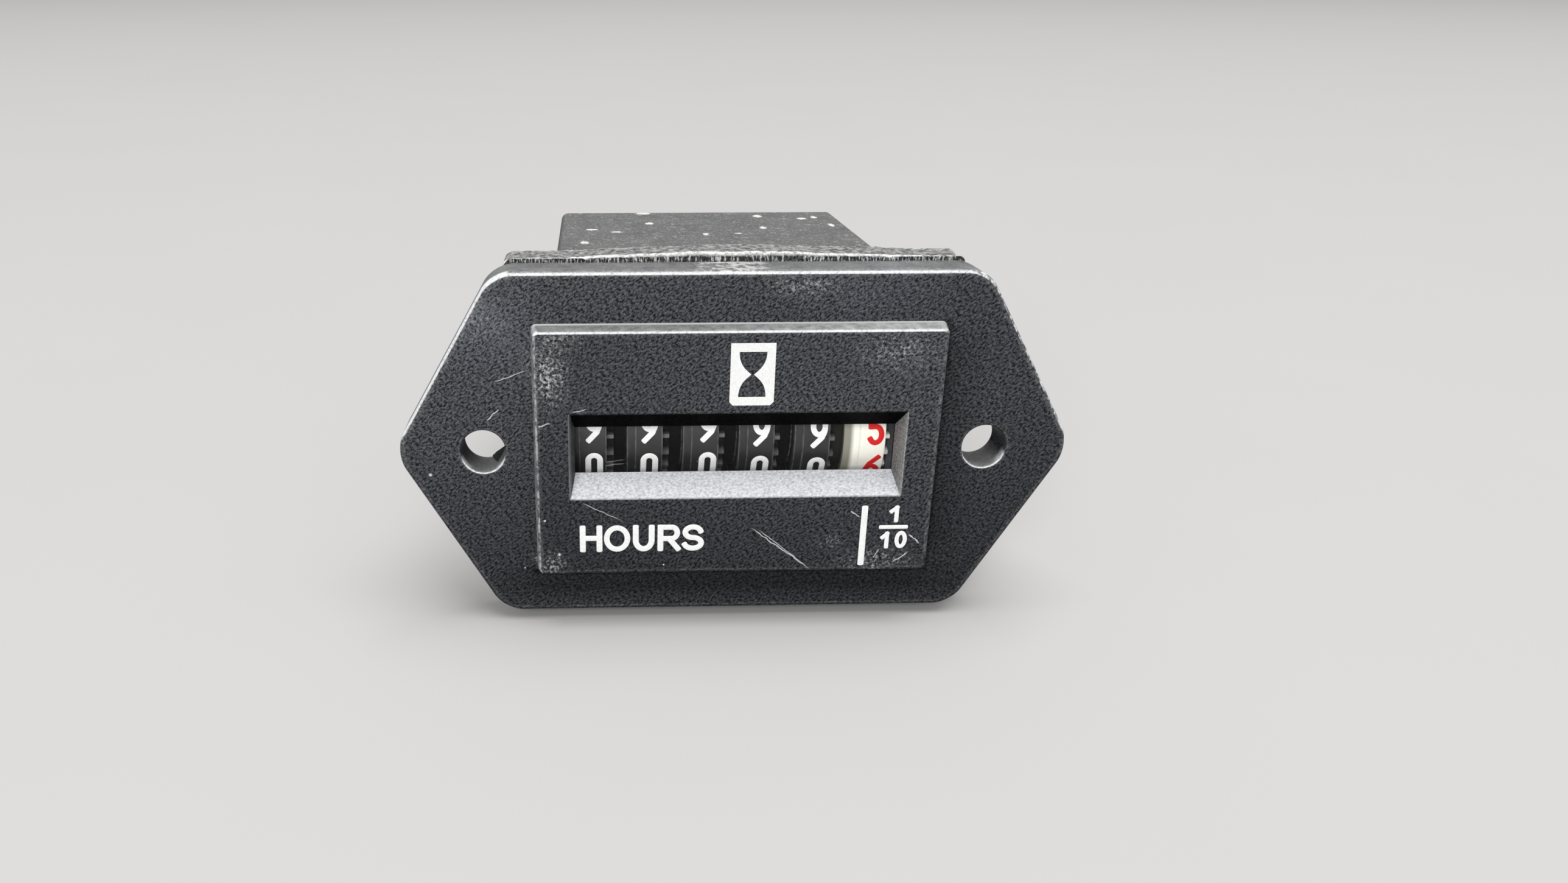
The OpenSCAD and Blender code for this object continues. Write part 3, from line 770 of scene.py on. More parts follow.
class Finish:
    """A procedural material on object coordinates, counted in millimetres."""

    def __init__(self, name):
        self.material = bpy.data.materials.new(name)
        self.material.use_nodes = True
        self.tree = self.material.node_tree
        self.shader = self.tree.nodes["Principled BSDF"]
        self.output = self.tree.nodes["Material Output"]
        inputs = {"Vector": self.value("ShaderNodeTexCoord", "Object"), "Scale": 1 / MM}
        self.place = self.value("ShaderNodeVectorMath", "Vector", inputs, operation="SCALE")

    def put(self, socket, value):
        """Links a socket or sets its value."""
        if isinstance(value, Mask):
            self.tree.links.new(value.socket, socket)
        elif socket.type == "RGBA":
            socket.default_value = (*value, 1.0)
        else:
            socket.default_value = value

    def node(self, kind, inputs=None, **settings):
        """A node with its settings and inputs."""
        made = self.tree.nodes.new(kind)
        for key, value in settings.items():
            setattr(made, key, value)
        for key, value in (inputs or {}).items():
            self.put(made.inputs[key], value)
        return made

    def value(self, kind, output, inputs=None, **settings):
        """What a new node gives out."""
        return Mask(self, self.node(kind, inputs, **settings).outputs[output])

    def set(self, **values):
        """Sets sockets of the main shader; underscores stand for spaces."""
        for key, value in values.items():
            self.put(self.shader.inputs[key.replace("_", " ")], value)

    def stretched(self, scale):
        """Object coordinates with a scale for each axis."""
        return self.value("ShaderNodeMapping", "Vector", {"Vector": self.place, "Scale": scale})

    def noise(self, scale, detail=2.0, rough=0.5, place=None):
        """Noise with features of about 1 / scale millimetres."""
        inputs = {"Vector": place or self.place, "Scale": scale, "Detail": detail, "Roughness": rough}
        return self.value("ShaderNodeTexNoise", "Fac", inputs)

    def cells(self, scale):
        """Distance to scattered points, and a colour for each point."""
        made = self.node("ShaderNodeTexVoronoi", {"Vector": self.place, "Scale": scale})
        return [Mask(self, made.outputs[name]) for name in ("Distance", "Color")]

    def mix(self, factor, first, second):
        """Mixes two colours."""
        made = self.node("ShaderNodeMix", {"Factor": factor}, data_type="RGBA")
        sockets = [socket for socket in made.inputs if socket.type == "RGBA"]
        for socket, value in zip(sockets, (first, second)):
            self.put(socket, value)
        return Mask(self, next(socket for socket in made.outputs if socket.type == "RGBA"))

    def bump(self, height, depth, strength):
        """Relief of a depth in millimetres."""
        inputs = {"Height": height, "Distance": depth * MM, "Strength": strength}
        self.set(Normal=self.value("ShaderNodeBump", "Normal", inputs))

    def facing(self):
        """How far the surface looks right, back and up, each from -1 to 1."""
        return self.value("ShaderNodeNewGeometry", "Normal").axes()

    def wear(self):
        """The rubbed edges marked on the mesh, where the bezel also puts painted highlights."""
        return self.value("ShaderNodeAttribute", "Fac", attribute_name="wear")

    def spot(self, centre, radius, stretch=(1.0, 1.0), lying=False):
        """A soft patch round a point in x and z, or in x and y where it lies on top."""
        x, y, z = self.place.axes()
        parts = zip((x, y if lying else z), centre, stretch)
        off = [(part - at) * (1 / wide) for part, at, wide in parts]
        flat = self.value("ShaderNodeCombineXYZ", "Vector", dict(zip("XY", off)))
        far = self.value("ShaderNodeVectorMath", "Value", {0: flat}, operation="LENGTH")
        return far.ramp(radius, SPOT_CORE * radius)

    def scratch(self, start, end, width):
        """A thin line from start to end in x and z, thinner at its ends."""
        along = Vector(end) - Vector(start)
        inputs = {
            "Vector": self.place,
            "Location": (start[0], 0.0, start[1]),
            "Rotation": (0.0, -math.atan2(along.y, along.x), 0.0),
        }
        x, _, z = self.value("ShaderNodeMapping", "Vector", inputs, vector_type="TEXTURE").axes()
        part = x / along.length
        wander = self.noise(1.4).ramp(0.3, 0.7, -width, width)
        fade = part.ramp(0.0, 0.12) * part.ramp(1.0, 0.8)
        return fade * abs(z + wander).ramp(width, SCRATCH_CORE * width)


# Scratches: start and end in x and z, and width.
FACE_SCRATCHES = [
    ((1.62, -7.85), (8.17, -12.82), 0.07),
    ((2.5, -8.15), (7.5, -12.25), 0.05),
    ((11.79, -6.07), (12.78, -6.83), 0.09),
    ((17.95, -8.82), (19.2, -9.88), 0.09),
    ((14.42, -11.49), (15.03, -10.45), 0.06),
    ((16.5, -12.05), (18.1, -10.75), 0.07),
    ((-16.35, 4.75), (-14.86, 5.15), 0.06),
    ((-19.7, 3.26), (-18.5, 3.69), 0.08),
    ((-15.5, -4.9), (-11.5, -6.9), 0.04),
]
FLANGE_SCRATCHES = [
    ((-23.97, 7.33), (-20.6, 8.49), 0.06),
    ((-24.91, 3.34), (-23.54, 4.55), 0.07),
]
# Patches: centre, radius, stretch along both axes and, for scuffs, strength.
SCUFFS = [
    ((-18.7, 8.6), 3.6, (0.8, 1.3), 1.0),
    ((-17.8, 12.0), 2.6, (1.3, 0.6), 0.7),
    ((-24.9, 13.6), 3.6, (1.1, 0.8), 0.4),
    ((15.4, 10.6), 4.2, (1.3, 0.8), 0.6),
    ((-18.9, -11.8), 2.6, (0.9, 0.8), 0.8),
    ((14.5, -11.8), 3.6, (1.5, 0.6), 0.65),
    ((9.8, -9.6), 1.5, (1.2, 0.8), 0.5),
    ((6.0, 16.7), 3.2, (1.6, 0.5), 0.7),
]
SPECKS = [
    ((-30.8, -2.45), 0.22),
    ((-17.9, -10.6), 0.2),
    ((-19.3, -6.8), 0.16),
]
CASE_SPECKS = [
    ((-15.1, 20.7), 0.75, (0.9, 1.7)),
    ((-14.2, 29.2), 0.6, (1.6, 1.2)),
    ((-6.9, 33.4), 0.7, (1.0, 1.8)),
    ((-7.4, 41.2), 0.8, (2.0, 1.2)),
    ((-11.1, 27.5), 0.6, (1.8, 1.0)),
    ((-0.4, 25.6), 0.65, (0.9, 1.6)),
    ((7.7, 38.7), 0.75, (1.1, 1.6)),
    ((7.2, 30.0), 0.7, (1.0, 1.6)),
    ((16.1, 31.7), 0.7, (0.7, 2.2)),
    ((13.2, 36.6), 0.7, (1.2, 1.4)),
    ((15.0, 37.6), 0.6, (0.9, 2.0)),
    ((3.6, 26.2), 0.5, (1.8, 1.0)),
]
HAZES = [
    ((-24.4, 13.0), 8.0, (0.8, 0.9)),
    ((13.0, 16.5), 6.5, (1.4, 0.7)),
]


class BezelFinish(Finish):
    """Grained black plastic with haze, scuffs, scratches, rubbed edges and dust, and with painted shade, painted
    highlights on the edges, a painted reflection on the sill and painted light on the right end of the window.

    Along Y, the front of the raised face is at -6.2 and that of the flange at -4.2."""

    def __init__(self, colours):
        super().__init__("bezel_plastic")
        self.colours = colours
        self.x, self.y, self.z = self.place.axes()
        self.side, _, self.sky = self.facing()
        self.across, self.upright = abs(self.x), abs(self.z)
        self.inside = self.across.ramp(17.3, 17.1) * self.upright.ramp(4.6, 4.4)
        turned = {"Vector": self.place, "Rotation": (0.0, GRAIN_TURN, 0.0), "Scale": (1.7, 1.0, 1.0)}
        leather = self.value("ShaderNodeMapping", "Vector", turned, vector_type="TEXTURE")
        self.grain = self.noise(5.0, 2.0, 0.55, leather) * 0.7 + self.noise(12.0, 1.0) * 0.3
        # shade and dark are painted shade: they darken the colour and dull the gloss where shadow falls.
        shade, dark = self.shade(), self.dark()
        surface = self.window(self.dusted(self.hazed(shade)))
        framed = self.mix(dark, surface, scaled(colours.plastic, 0.3))
        gloss = self.grain.ramp(0.41, 0.62, 0.08, 0.7) * shade * dark.between(1.0, 0.04)
        self.set(
            Base_Color=self.mix(self.marks(), framed, colours.worn),
            Roughness=self.grain.ramp(0.35, 0.7, 0.42, 0.6), Specular_IOR_Level=gloss,
        )
        self.bump(self.grain, 0.06, 0.8)

    def shade(self):
        """Painted shade: how pale the grain is, less so low down, towards the right of the flange and the left of
        the raised face, under the raised face and in its shadow to the right of it.
        """
        x, z = self.x, self.z
        raised = self.y.ramp(-5.0, -5.5)
        lean = raised.between(x.ramp(-30.0, 30.0, 1.0, 0.78), x.ramp(-18.0, 18.0, 0.78, 1.0))
        under = z.ramp(-12.9, -13.2) * self.across.ramp(26.0, 19.0)
        below = under.between(1.0, z.ramp(-15.5, -17.2, 0.6, 1.3))
        lee = x.ramp(20.2, 20.4) * self.upright.ramp(13.4, 10.0)
        right = lee.between(1.0, x.ramp(20.4, 25.0, 0.5, 1.0))
        return z.ramp(-17.0, 6.0, 0.45, 1.0) * lean * below * right

    def hazed(self, shade):
        """The plain grain with patches of haze."""
        pale = self.grain.ramp(0.41, 0.62) * shade
        base = self.mix(pale, self.colours.plastic, self.colours.plastic_pale)
        patchy = self.noise(0.16, 3.0, 0.6).ramp(0.38, 0.66, 0.3, 1.0)
        spots = largest([self.spot(*spot) for spot in HAZES])
        return self.mix(spots * patchy * self.grain.ramp(0.42, 0.62, 0.1, 0.8), base, self.colours.haze)

    def dusted(self, surface):
        """Dust on what looks up, thicker on top of the raised face, with a heap on the flange."""
        x, z = self.x, self.z
        ledge = z.ramp(14.5, 13.8) * z.ramp(11.5, 12.2) * self.across.ramp(20.8, 20.5)
        cloudy = self.noise(0.5, 4.0, 0.6).ramp(0.3, 0.7, 0.16, 0.32)
        thick = self.noise(1.1, 4.0, 0.6).ramp(0.35, 0.65, 0.35, 0.7) * x.ramp(-5.0, 15.0, 0.55, 1.0)
        foot = self.y.ramp(-4.8, -4.5, 0.0, 0.85)
        crumbs = self.noise(1.0, 5.0, 0.7).ramp(0.42, 0.55, 0.0, 0.95)
        heap = abs(x + 0.7).ramp(4.6, 2.5) * crumbs * z.ramp(17.0, 17.8)
        film = self.sky.ramp(0.3, 0.8) * (cloudy | (thick | foot) * ledge | heap)
        return self.mix(film, surface, self.colours.dust)

    def window(self, surface):
        """Painted reflection on the satin sill, and painted light on the right end of the window."""
        # Painted light: the right end of the window, which faces left, is made paler.
        right = self.inside * self.side.ramp(-0.2, -0.6) * self.grain.ramp(0.4, 0.6, 0.5, 1.0)
        right_end = right * self.y.ramp(-4.4, -6.1, 0.55, 1.0)
        # Painted reflection: the sill, which faces up and out, takes the pale sill colour.
        sill = self.inside * self.sky.ramp(0.6, 0.74) * self.grain.ramp(0.36, 0.62, 0.45, 1.0)
        return self.mix(sill, self.mix(right_end, surface, self.colours.window_end), self.colours.sill)

    def dark(self):
        """Painted shade: the head of the window, which faces down, and the corners below and to the right of the
        raised face, where shadow falls.
        """
        head = self.inside * self.sky.ramp(-0.3, -0.5)
        below = abs(self.z + 13.4).ramp(0.7, 0.1) * self.across.ramp(21.0, 20.4)
        right = abs(self.x - 20.5).ramp(0.6, 0.1) * self.upright.ramp(13.6, 13.2)
        corner = (below | right * 0.7) * self.y.ramp(-4.45, -4.25)
        return head | corner * 0.7

    def worn_and_highlit_edges(self):
        """Pale lines along the top, the left, the ends of the window and, faintly, all other edges. They are wear,
        and the lines along the top and on the left are painted highlights as well, where the surface faces the
        light.
        """
        wear, side, sky = self.wear(), self.side, self.sky
        edge = wear.ramp(0.75, 1.0)
        slanting = abs(side).ramp(0.08, 0.2) * self.z.ramp(2.4, 3.2)
        dots = self.noise(1.3, 4.0, 0.7).ramp(0.45, 0.58, 0.05, 1.0)
        # Painted highlight: flat_line and slant_line lie where the rounding faces up towards the light.
        flat_line = sky.ramp(0.18, 0.36) * sky.ramp(0.88, 0.62)
        slant_line = sky.ramp(0.2, 0.32) * wear.ramp(0.92, 1.0) * self.x.ramp(-1.0, 1.0, 1.0, dots)
        top = edge * slanting.between(flat_line, slant_line) * self.grain.ramp(0.36, 0.52, 0.55, 1.0)
        broken = self.noise(1.9, 5.0, 0.7).ramp(0.42, 0.58, 0.15, 1.0)
        # Partly painted light: the sides that face left are paler, besides their wear.
        left = side.ramp(-0.15, -0.4) * self.across.ramp(19.3, 19.6) * self.across.ramp(20.9, 20.6) * broken
        ends = wear.ramp(0.5, 0.8) * side.ramp(0.2, 0.5) * self.across.ramp(17.4, 17.2)
        faint = edge * sky.ramp(-0.3, 0.0) * self.noise(2.4, 5.0, 0.7).ramp(0.42, 0.64)
        return top * 0.95 | left * 0.5 | ends * 0.2 | faint * 0.12

    def marks(self):
        """Scuffs, scratches, rubbed edges with painted highlights, and specks."""
        rubbed = largest([self.spot(*spot) * weight for *spot, weight in SCUFFS])
        rough = self.noise(3.2, 4.0, 0.7) + rubbed * 0.06
        scuff = rubbed * rough.ramp(0.54, 0.68)
        on_face = largest([self.scratch(*mark) for mark in FACE_SCRATCHES]) * self.y.ramp(-5.9, -6.1)
        on_flange = largest([self.scratch(*mark) for mark in FLANGE_SCRATCHES]) * self.y.ramp(-4.0, -4.15)
        near, tint = self.cells(0.42)
        scattered = near.ramp(0.045, 0.02) * tint.axes()[0].ramp(0.7, 0.75)
        specks = largest([scattered] + [self.spot(*spot) for spot in SPECKS])
        return scuff * 0.55 | (on_face | on_flange) * 0.7 | self.worn_and_highlit_edges() | specks * 0.85


def moulded_finish(name, base, pale, dust, rough=0.6, film=0.0, speck=None):
    """Matt moulded plastic, with a film of dust and white specks on top where asked for."""
    make = Finish(name)
    grain = make.noise(6.0, 3.0, 0.6)
    body = make.mix(grain.ramp(0.45, 0.7), base, pale)
    lying = make.facing()[2].ramp(0.5, 0.95)
    soft = lying * make.noise(0.3, 5.0, 0.65).ramp(0.3, 0.75, 0.5 * film, film)
    worn = make.wear().ramp(0.4, 1.0) * make.noise(0.4, 5.0, 0.6).ramp(0.35, 0.75) * 0.12
    surface = make.mix(soft | worn, body, dust)
    if speck:
        ragged = make.noise(1.8, 4.0, 0.7).ramp(0.35, 0.65, 0.2, 1.0)
        patches = largest([make.spot(*patch, lying=True) for patch in CASE_SPECKS])
        dots = (patches * ragged).ramp(0.16, 0.3)
        smears = make.noise(0.8, 6.0, 0.75).ramp(0.58, 0.7, 0.0, 0.6)
        fine = make.noise(3.4, 3.0, 0.7).ramp(0.56, 0.72, 0.0, 0.5)
        surface = make.mix(lying * (dots | smears | fine), surface, speck)
    make.set(Base_Color=surface, Roughness=grain.ramp(0.3, 0.7, rough - 0.08, rough + 0.08))
    make.bump(grain, 0.04, 0.5)
    return make.material


def sponge_finish(colours):
    """Open-celled black rubber with cut bristles in front, dust on top, and a pale ragged line along its top
    edges.
    """
    make = Finish("sponge_rubber")
    _, back, sky = make.facing()
    upper = make.place.axes()[2].ramp(8.0, 12.0)
    near, _ = make.cells(3.2)
    pores = near.ramp(0.15, 0.6)
    body = make.mix(pores, colours.sponge, scaled(colours.sponge, 3.2))
    dusty = sky.ramp(0.1, 0.8) * make.noise(1.6, 4.0, 0.65).ramp(0.4, 0.62, 0.1, 0.5)
    ragged = make.noise(2.6, 4.0, 0.7).ramp(0.36, 0.52, 0.4, 1.0)
    # A pale ragged line where the top edges face up.
    lip = make.wear().ramp(0.5, 0.9) * sky.ramp(0.1, 0.4) * ragged
    strands = make.noise(1.0, 3.0, 0.7, make.stretched((4.5, 2.0, 1.1)))
    bristle = back.ramp(-0.2, -0.6) * strands.ramp(0.5, 0.6) * 0.6
    dust = upper * (dusty | lip | bristle)
    make.set(Base_Color=make.mix(dust, body, colours.speck), Roughness=0.85, Specular_IOR_Level=0.25)
    make.bump(pores, 0.12, 0.8)
    return make.material


# Places across a wheel from its middle, then radii between which the painted shade fades out, further in and on
# the left side.
BAND = (-1.4, 1.4)
BAND_LINES = (-2.2, -1.36, 1.36)
TENTHS_BAND = (-1.9, 1.4)
TENTHS_LINES = (-1.25, 1.36)
DEEP_SHADE_RADII = (5.6, 6.2)
LEFT_SHADE_RADII = (6.7, 7.25)


def wheel_finish(place, base, edge, strip, ring, painted_shade_colour, band, lines_at):
    """Satin number wheel: strip, band and toothed ring from left to right, faint lines, and painted shade further
    in and on the left side below the rim.
    """
    make = Finish("satin_" + place)
    centre = [part / MM for part in wheel_centre(place)]
    local, depth, height = [part - at for part, at in zip(make.place.axes(), centre)]
    radius = (depth * depth + height * height).sum("SQRT")
    left, right = band
    lines = largest([abs(local - at).ramp(0.1, 0.03) for at in lines_at])
    grain = make.noise(5.0, 3.0, 0.6)
    plain = make.mix(grain.ramp(0.35, 0.75), base, scaled(base, 0.93))
    # On the tenths wheel the strip is painted shade.
    left_strip = make.mix(local.ramp(left + 0.1, left - 0.35), plain, strip)
    whole = make.mix(local.ramp(right, 0.05 + right), left_strip, ring)
    broken = lines * make.noise(2.0, 3.0).ramp(0.3, 0.6) * 0.7
    # Painted shade: the wheel darkens further in and on its left side below the rim, and its gloss fades there.
    painted_shade_mask = radius.ramp(*DEEP_SHADE_RADII, 1.0, 0.0) | radius.ramp(*LEFT_SHADE_RADII, 1.0, 0.0) * local.ramp(0.0, -0.5)
    with_painted_shade = make.mix(painted_shade_mask * 0.9, whole, painted_shade_colour)
    make.set(
        Base_Color=make.mix(broken, with_painted_shade, edge), Roughness=grain.ramp(0.3, 0.7, 0.38, 0.5),
        Specular_IOR_Level=painted_shade_mask.between(0.5, 0.05),
    )
    make.bump(grain, 0.02, 0.4)
    return make.material


def ink_finish(name, base):
    """Printed ink, a little uneven."""
    make = Finish(name)
    grain = make.noise(6.0, 3.0, 0.6)
    uneven = make.mix(grain.ramp(0.3, 0.6), scaled(base, 0.86), base)
    make.set(Base_Color=uneven, Roughness=0.5, Specular_IOR_Level=0.2)
    make.bump(grain, 0.01, 0.3)
    return make.material


def metal_finish(name, base, rough, stretch):
    """Drawn, ground or stamped metal with fine lines."""
    make = Finish(name)
    lines = make.noise(1.0, 3.0, 0.6, make.stretched(stretch))
    stains = make.noise(0.5, 3.0, 0.6).ramp(0.35, 0.75, 0.0, 0.5)
    body = make.mix(stains, base, scaled(base, 0.72))
    make.set(Base_Color=body, Metallic=1.0, Roughness=lines.ramp(0.3, 0.7, rough - 0.07, rough + 0.1))
    make.bump(lines, 0.01, 0.4)
    return make.material


def lens_finish():
    """Clear plate: mostly see-through, with a faint sheen, a haze of dust and a scratch."""
    make = Finish("clear_plate")
    clear = make.value("ShaderNodeBsdfTransparent", "BSDF")
    sheen = make.value("ShaderNodeFresnel", "Fac", {"IOR": 1.3})
    mark = make.scratch((-13.15, -1.84), (-11.1, -1.6), 0.05)
    near, tint = make.cells(1.1)
    speck = near.ramp(0.06, 0.03) * tint.axes()[0].ramp(0.75, 0.8)
    seen = sheen * 0.25 | mark * 0.22 | speck * 0.3
    make.set(Base_Color=(0.8, 0.81, 0.82), Roughness=0.12)
    plate = Mask(make, make.shader.outputs["BSDF"])
    blend = make.value("ShaderNodeMixShader", "Shader", {"Fac": seen, 1: clear, 2: plate})
    make.put(make.output.inputs["Surface"], blend)
    return make.material


def board_finish():
    """Green solder mask."""
    make = Finish("solder_mask")
    weave = make.noise(3.0, 2.0)
    make.set(Base_Color=make.mix(weave, (0.012, 0.11, 0.04), (0.02, 0.15, 0.06)), Roughness=0.4)
    make.bump(weave, 0.01, 0.3)
    return make.material


def dress(names, material):
    """Gives CAD nodes a finish."""
    for name in names:
        node = frame["nodes"][name]
        node.data.materials.clear()
        node.data.materials.append(material)


class HOURMETER_OT_bezel(bpy.types.Operator):
    """Build the bezel with its rounded and rubbed edges."""

    bl_idname = "hourmeter.bezel"
    bl_label = "Bezel"

    def execute(self, context):
        scene = context.scene
        bm = build_bezel(scene.meter_shell)
        finish = BezelFinish(scene.meter_colours).material
        piece = make_piece("bezel", bm, finish, "case", ["front_bezel"])
        even_shading(piece)
        return {"FINISHED"}


class HOURMETER_OT_case(bpy.types.Operator):
    """Build the rear case."""

    bl_idname = "hourmeter.case"
    bl_label = "Rear case"

    def execute(self, context):
        scene = context.scene
        colours = scene.meter_colours
        pale = scaled(colours.case, 2.2)
        finish = moulded_finish("case_plastic", colours.case, pale, colours.dust, 0.6, 0.2, colours.speck)
        bm = build_case(scene.meter_shell)
        piece = make_piece("case_box", bm, finish, "case", ["rear_case"])
        even_shading(piece)
        return {"FINISHED"}


class HOURMETER_OT_gasket(bpy.types.Operator):
    """Build the sponge gasket with its rough cut edge."""

    bl_idname = "hourmeter.gasket"
    bl_label = "Gasket"

    def execute(self, context):
        scene = context.scene
        bm = build_gasket(scene.meter_shell)
        finish = sponge_finish(scene.meter_colours)
        piece = make_piece("gasket", bm, finish, "case", ["panel_gasket"], SPONGE_SHARP)
        return {"FINISHED"}


class HOURMETER_OT_marks(bpy.types.Operator):
    """Print the marks on the raised face."""

    bl_idname = "hourmeter.marks"
    bl_label = "Printed marks"

    def execute(self, context):
        marks = context.scene.meter_print
        finish = ink_finish("white_print", context.scene.meter_colours.white_ink)
        face = BEZEL[0].y
        for name, bm in self.signs(marks):
            bmesh.ops.translate(bm, vec=(0.0, face, 0.0), verts=bm.verts)
            make_piece(name, bm, finish, "case")
        return {"FINISHED"}

    def signs(self, marks):
        """Each printed mark with its name, about the plane y = 0."""
        boxes = {
            "H": (-15.8, -13.5), "O": (-13.36, -10.65), "U": (-10.4, -8.18), "R": (-7.88, -5.5),
            "S": (-5.42, -3.1),
        }
        middle, half = -8.87, marks.letter_height / MM / 2
        word = []
        for letter, (left, right) in boxes.items():
            word += placed(LETTERS[letter], left, right, middle - half, middle + half, marks.letter_stroke)
        yield "print_hours", ink(word, marks.letter_stroke, marks.film)
        bar_x, bar_high, bar_low = 13.21 * MM, -5.54 * MM, -12.3 * MM
        inset = marks.bar_stroke / 2
        bar = opened(line((bar_x, bar_high - inset), (bar_x, bar_low + inset)))
        yield "print_bar", ink(bar, marks.bar_stroke, marks.film)
        stroke = marks.tenth_stroke
        one = opened(line((0.75, 0.9), (0.75, -1)), line((0.75, 0.9), (-0.9, 0.35)))
        nought = looped(arc((0, 0), (1, 1), 0, 360, 40))
        rule = opened(line((-1, 0), (1, 0)))
        tenth = placed(one, 15.72, 16.8, -7.45, -5.5, stroke)
        tenth += placed(rule, 14.8, 17.78, -8.19, -7.75, stroke)
        tenth += placed(one, 15.0, 16.0, -10.4, -8.42, stroke)
        tenth += placed(nought, 16.5, 17.83, -10.42, -8.4, 1.1 * stroke)
        yield "print_tenth", ink(tenth, stroke, marks.film)
        symbol = build_symbol()
        bmesh.ops.translate(symbol, vec=SYMBOL_PLACE, verts=symbol.verts)
        yield "print_symbol", symbol


class HOURMETER_OT_numbers(bpy.types.Operator):
    """Print the numbers on the six wheels."""

    bl_idname = "hourmeter.numbers"
    bl_label = "Wheel numbers"

    def execute(self, context):
        scene = context.scene
        white = ink_finish("white_numbers", scene.meter_colours.number_ink)
        red = ink_finish("red_numbers", scene.meter_colours.red_ink)
        marks = scene.meter_print
        for place, reading, offset in zip(PLACES, marks.readings, marks.offsets):
            tenths = place == "tenths"
            make_piece(
                "numbers_" + place, build_numbers(marks, place, reading, offset),
                red if tenths else white, place,
            )
        return {"FINISHED"}


class HOURMETER_OT_finishes(bpy.types.Operator):
    """Give the wheels, the clear plate, the terminals and the works their finishes."""

    bl_idname = "hourmeter.finishes"
    bl_label = "Finishes"

    def execute(self, context):
        colours = context.scene.meter_colours
        dress(["window_lens"], lens_finish())
        # Painted shade for the deep parts of the wheels.
        painted_shade_colour = scaled(colours.wheel, 0.1)
        for place in PLACES[:-1]:
            wheel = wheel_finish(
                place, colours.wheel, colours.wheel_line, colours.wheel, colours.wheel_ring, painted_shade_colour,
                BAND, BAND_LINES,
            )
            dress(["wheel_" + place], wheel)
        cream = wheel_finish(
            "tenths", colours.cream, colours.cream_line, colours.cream_shade, colours.cream, painted_shade_colour,
            TENTHS_BAND, TENTHS_LINES,
        )
        dress(["wheel_tenths"], cream)
        steel = metal_finish("ground_steel", (0.6, 0.61, 0.62), 0.3, (0.4, 12.0, 12.0))
        brass = metal_finish("tinned_brass", (0.72, 0.62, 0.4), 0.32, (8.0, 0.6, 8.0))
        can = metal_finish("drawn_can", (0.58, 0.59, 0.6), 0.35, (0.6, 9.0, 9.0))
        acetal = moulded_finish("acetal", (0.66, 0.64, 0.57), (0.72, 0.7, 0.64), colours.dust, 0.45)
        grey = moulded_finish("frame_grey", (0.085, 0.09, 0.1), (0.13, 0.135, 0.15), colours.dust)
        epoxy = moulded_finish("epoxy_black", (0.012, 0.012, 0.012), (0.03, 0.03, 0.03), colours.dust, 0.55)
        blue = moulded_finish("sleeve_blue", (0.02, 0.04, 0.16), (0.03, 0.05, 0.2), colours.dust, 0.35)
        dress(["wheel_shaft", "pinion_shaft", "idler_pin", "output_shaft"], steel)
        dress(["chassis_screws", "motor_screws"], steel)
        dress(["motor_pins", *BLADES], brass)
        dress(["gear_motor", "quartz_crystal"], can)
        dress(["pinion_" + place for place in PLACES[:-1]] + ["idler_pinion", "drive_gear"], acetal)
        dress(["chassis"], grey)
        dress(["control_chip"], epoxy)
        dress(["smoothing_capacitor"], blue)
        dress(["circuit_board"], board_finish())
        return {"FINISHED"}


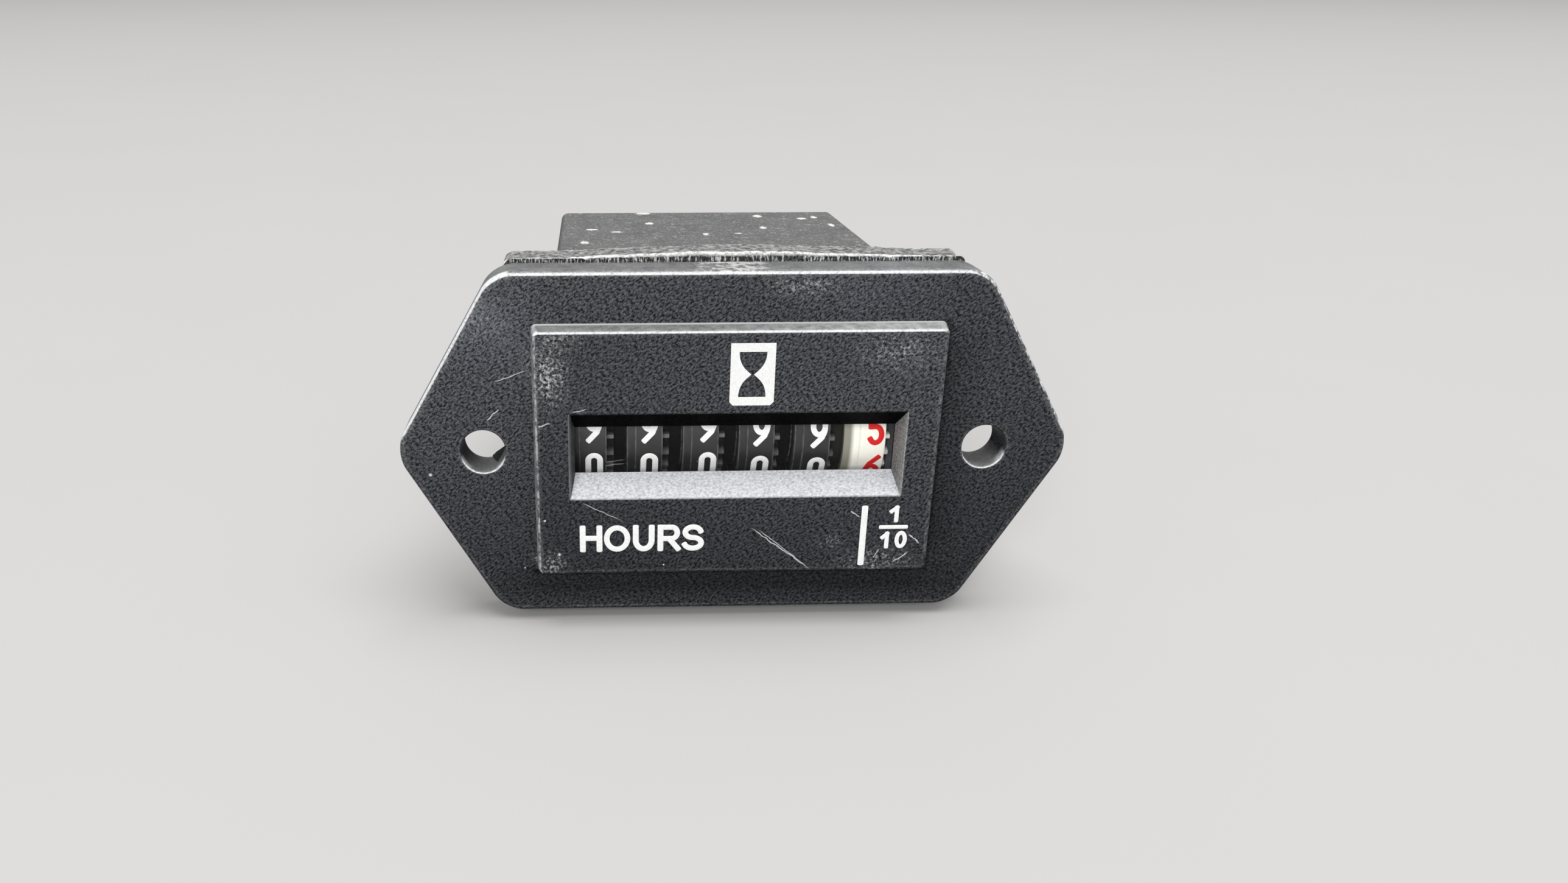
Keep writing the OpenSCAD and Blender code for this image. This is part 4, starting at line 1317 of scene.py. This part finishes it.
class HOURMETER_OT_stage(bpy.types.Operator):
    """Set up the floor, the lamps and the camera."""

    bl_idname = "hourmeter.stage"
    bl_label = "Stage"

    def execute(self, context):
        stage = context.scene.meter_stage
        self.floor(context.scene, stage)
        self.light(context.scene, stage)
        self.camera(context.scene, stage)
        context.scene.view_settings.view_transform = "Standard"
        return {"FINISHED"}

    def floor(self, scene, stage):
        """A wide pale plane that leans as the meter rests."""
        bm = bmesh.new()
        bmesh.ops.create_grid(bm, x_segments=1, y_segments=1, size=FLOOR_REACH)
        bmesh.ops.rotate(bm, matrix=Matrix.Rotation(stage.floor_slope, 3, "X"), verts=bm.verts)
        bmesh.ops.translate(bm, vec=(0.0, 0.0, stage.floor_drop), verts=bm.verts)
        mesh = bpy.data.meshes.new("floor")
        bm.to_mesh(mesh)
        bm.free()
        make = Finish("floor")
        pale = stage.floor_colour
        soft = make.noise(0.02, 3.0)
        make.set(Base_Color=make.mix(soft, scaled(pale, 0.97), pale), Roughness=0.7)
        mesh.materials.append(make.material)
        floor = bpy.data.objects.new("floor", mesh)
        scene.collection.objects.link(floor)

    def lamp(self, scene, name, power, size, place):
        """A soft square lamp that looks at the origin."""
        data = bpy.data.lights.new(name, "AREA")
        data.energy = power
        data.size = size
        lamp = bpy.data.objects.new(name, data)
        lamp.location = place
        lamp.rotation_euler = (-Vector(place)).to_track_quat("-Z", "Y").to_euler()
        lamp.visible_camera = False
        scene.collection.objects.link(lamp)

    def light(self, scene, stage):
        """An even sky, a soft lamp overhead and a soft lamp in front."""
        world = bpy.data.worlds.new("sky")
        scene.world = world
        world.use_nodes = True
        sky = world.node_tree.nodes["Background"]
        sky.inputs["Color"].default_value = (1.0, 1.0, 1.0, 1.0)
        sky.inputs["Strength"].default_value = stage.sky
        for name, (size, place) in LAMPS.items():
            self.lamp(scene, name, getattr(stage, name), size, place)

    def camera(self, scene, stage):
        """A camera in front, above and a little to the left."""
        data = bpy.data.cameras.new("camera")
        data.sensor_width = SENSOR_WIDTH
        data.lens = stage.lens
        data.shift_x = stage.shift_x
        data.shift_y = stage.shift_y
        data.clip_start = NEAR_CLIP
        camera = bpy.data.objects.new("camera", data)
        camera.location = stage.eye
        camera.rotation_euler = Euler((RIGHT_ANGLE - stage.dip, 0.0, -stage.turn))
        scene.collection.objects.link(camera)
        scene.camera = camera


class HOURMETER_PT_panel(bpy.types.Panel):
    """Buttons for the pieces of the hour meter."""

    bl_idname = "HOURMETER_PT_panel"
    bl_label = "Hour Meter"
    bl_space_type = "VIEW_3D"
    bl_region_type = "UI"
    bl_category = "Hour Meter"

    def draw(self, context):
        for operator in OPERATORS:
            self.layout.operator(operator.bl_idname)


GROUPS = {
    "meter_shell": MeterShell, "meter_print": MeterPrint, "meter_colours": MeterColours,
    "meter_stage": MeterStage,
}
OPERATORS = [
    HOURMETER_OT_bezel, HOURMETER_OT_case, HOURMETER_OT_gasket, HOURMETER_OT_marks,
    HOURMETER_OT_numbers, HOURMETER_OT_finishes, HOURMETER_OT_stage,
]


def register():
    """Adds the classes and the scene's property groups."""
    for group in GROUPS.values():
        bpy.utils.register_class(group)
    for name, group in GROUPS.items():
        setattr(bpy.types.Scene, name, PointerProperty(type=group))
    for operator in OPERATORS:
        bpy.utils.register_class(operator)
    bpy.utils.register_class(HOURMETER_PT_panel)


def unregister():
    """Takes them away again."""
    bpy.utils.unregister_class(HOURMETER_PT_panel)
    for operator in reversed(OPERATORS):
        bpy.utils.unregister_class(operator)
    for name in GROUPS:
        delattr(bpy.types.Scene, name)
    for group in GROUPS.values():
        bpy.utils.unregister_class(group)


def main():
    """Builds everything in order."""
    register()
    bpy.ops.hourmeter.bezel()
    bpy.ops.hourmeter.case()
    bpy.ops.hourmeter.gasket()
    bpy.ops.hourmeter.marks()
    bpy.ops.hourmeter.numbers()
    bpy.ops.hourmeter.finishes()
    bpy.ops.hourmeter.stage()


if __name__ == "__main__":
    main()
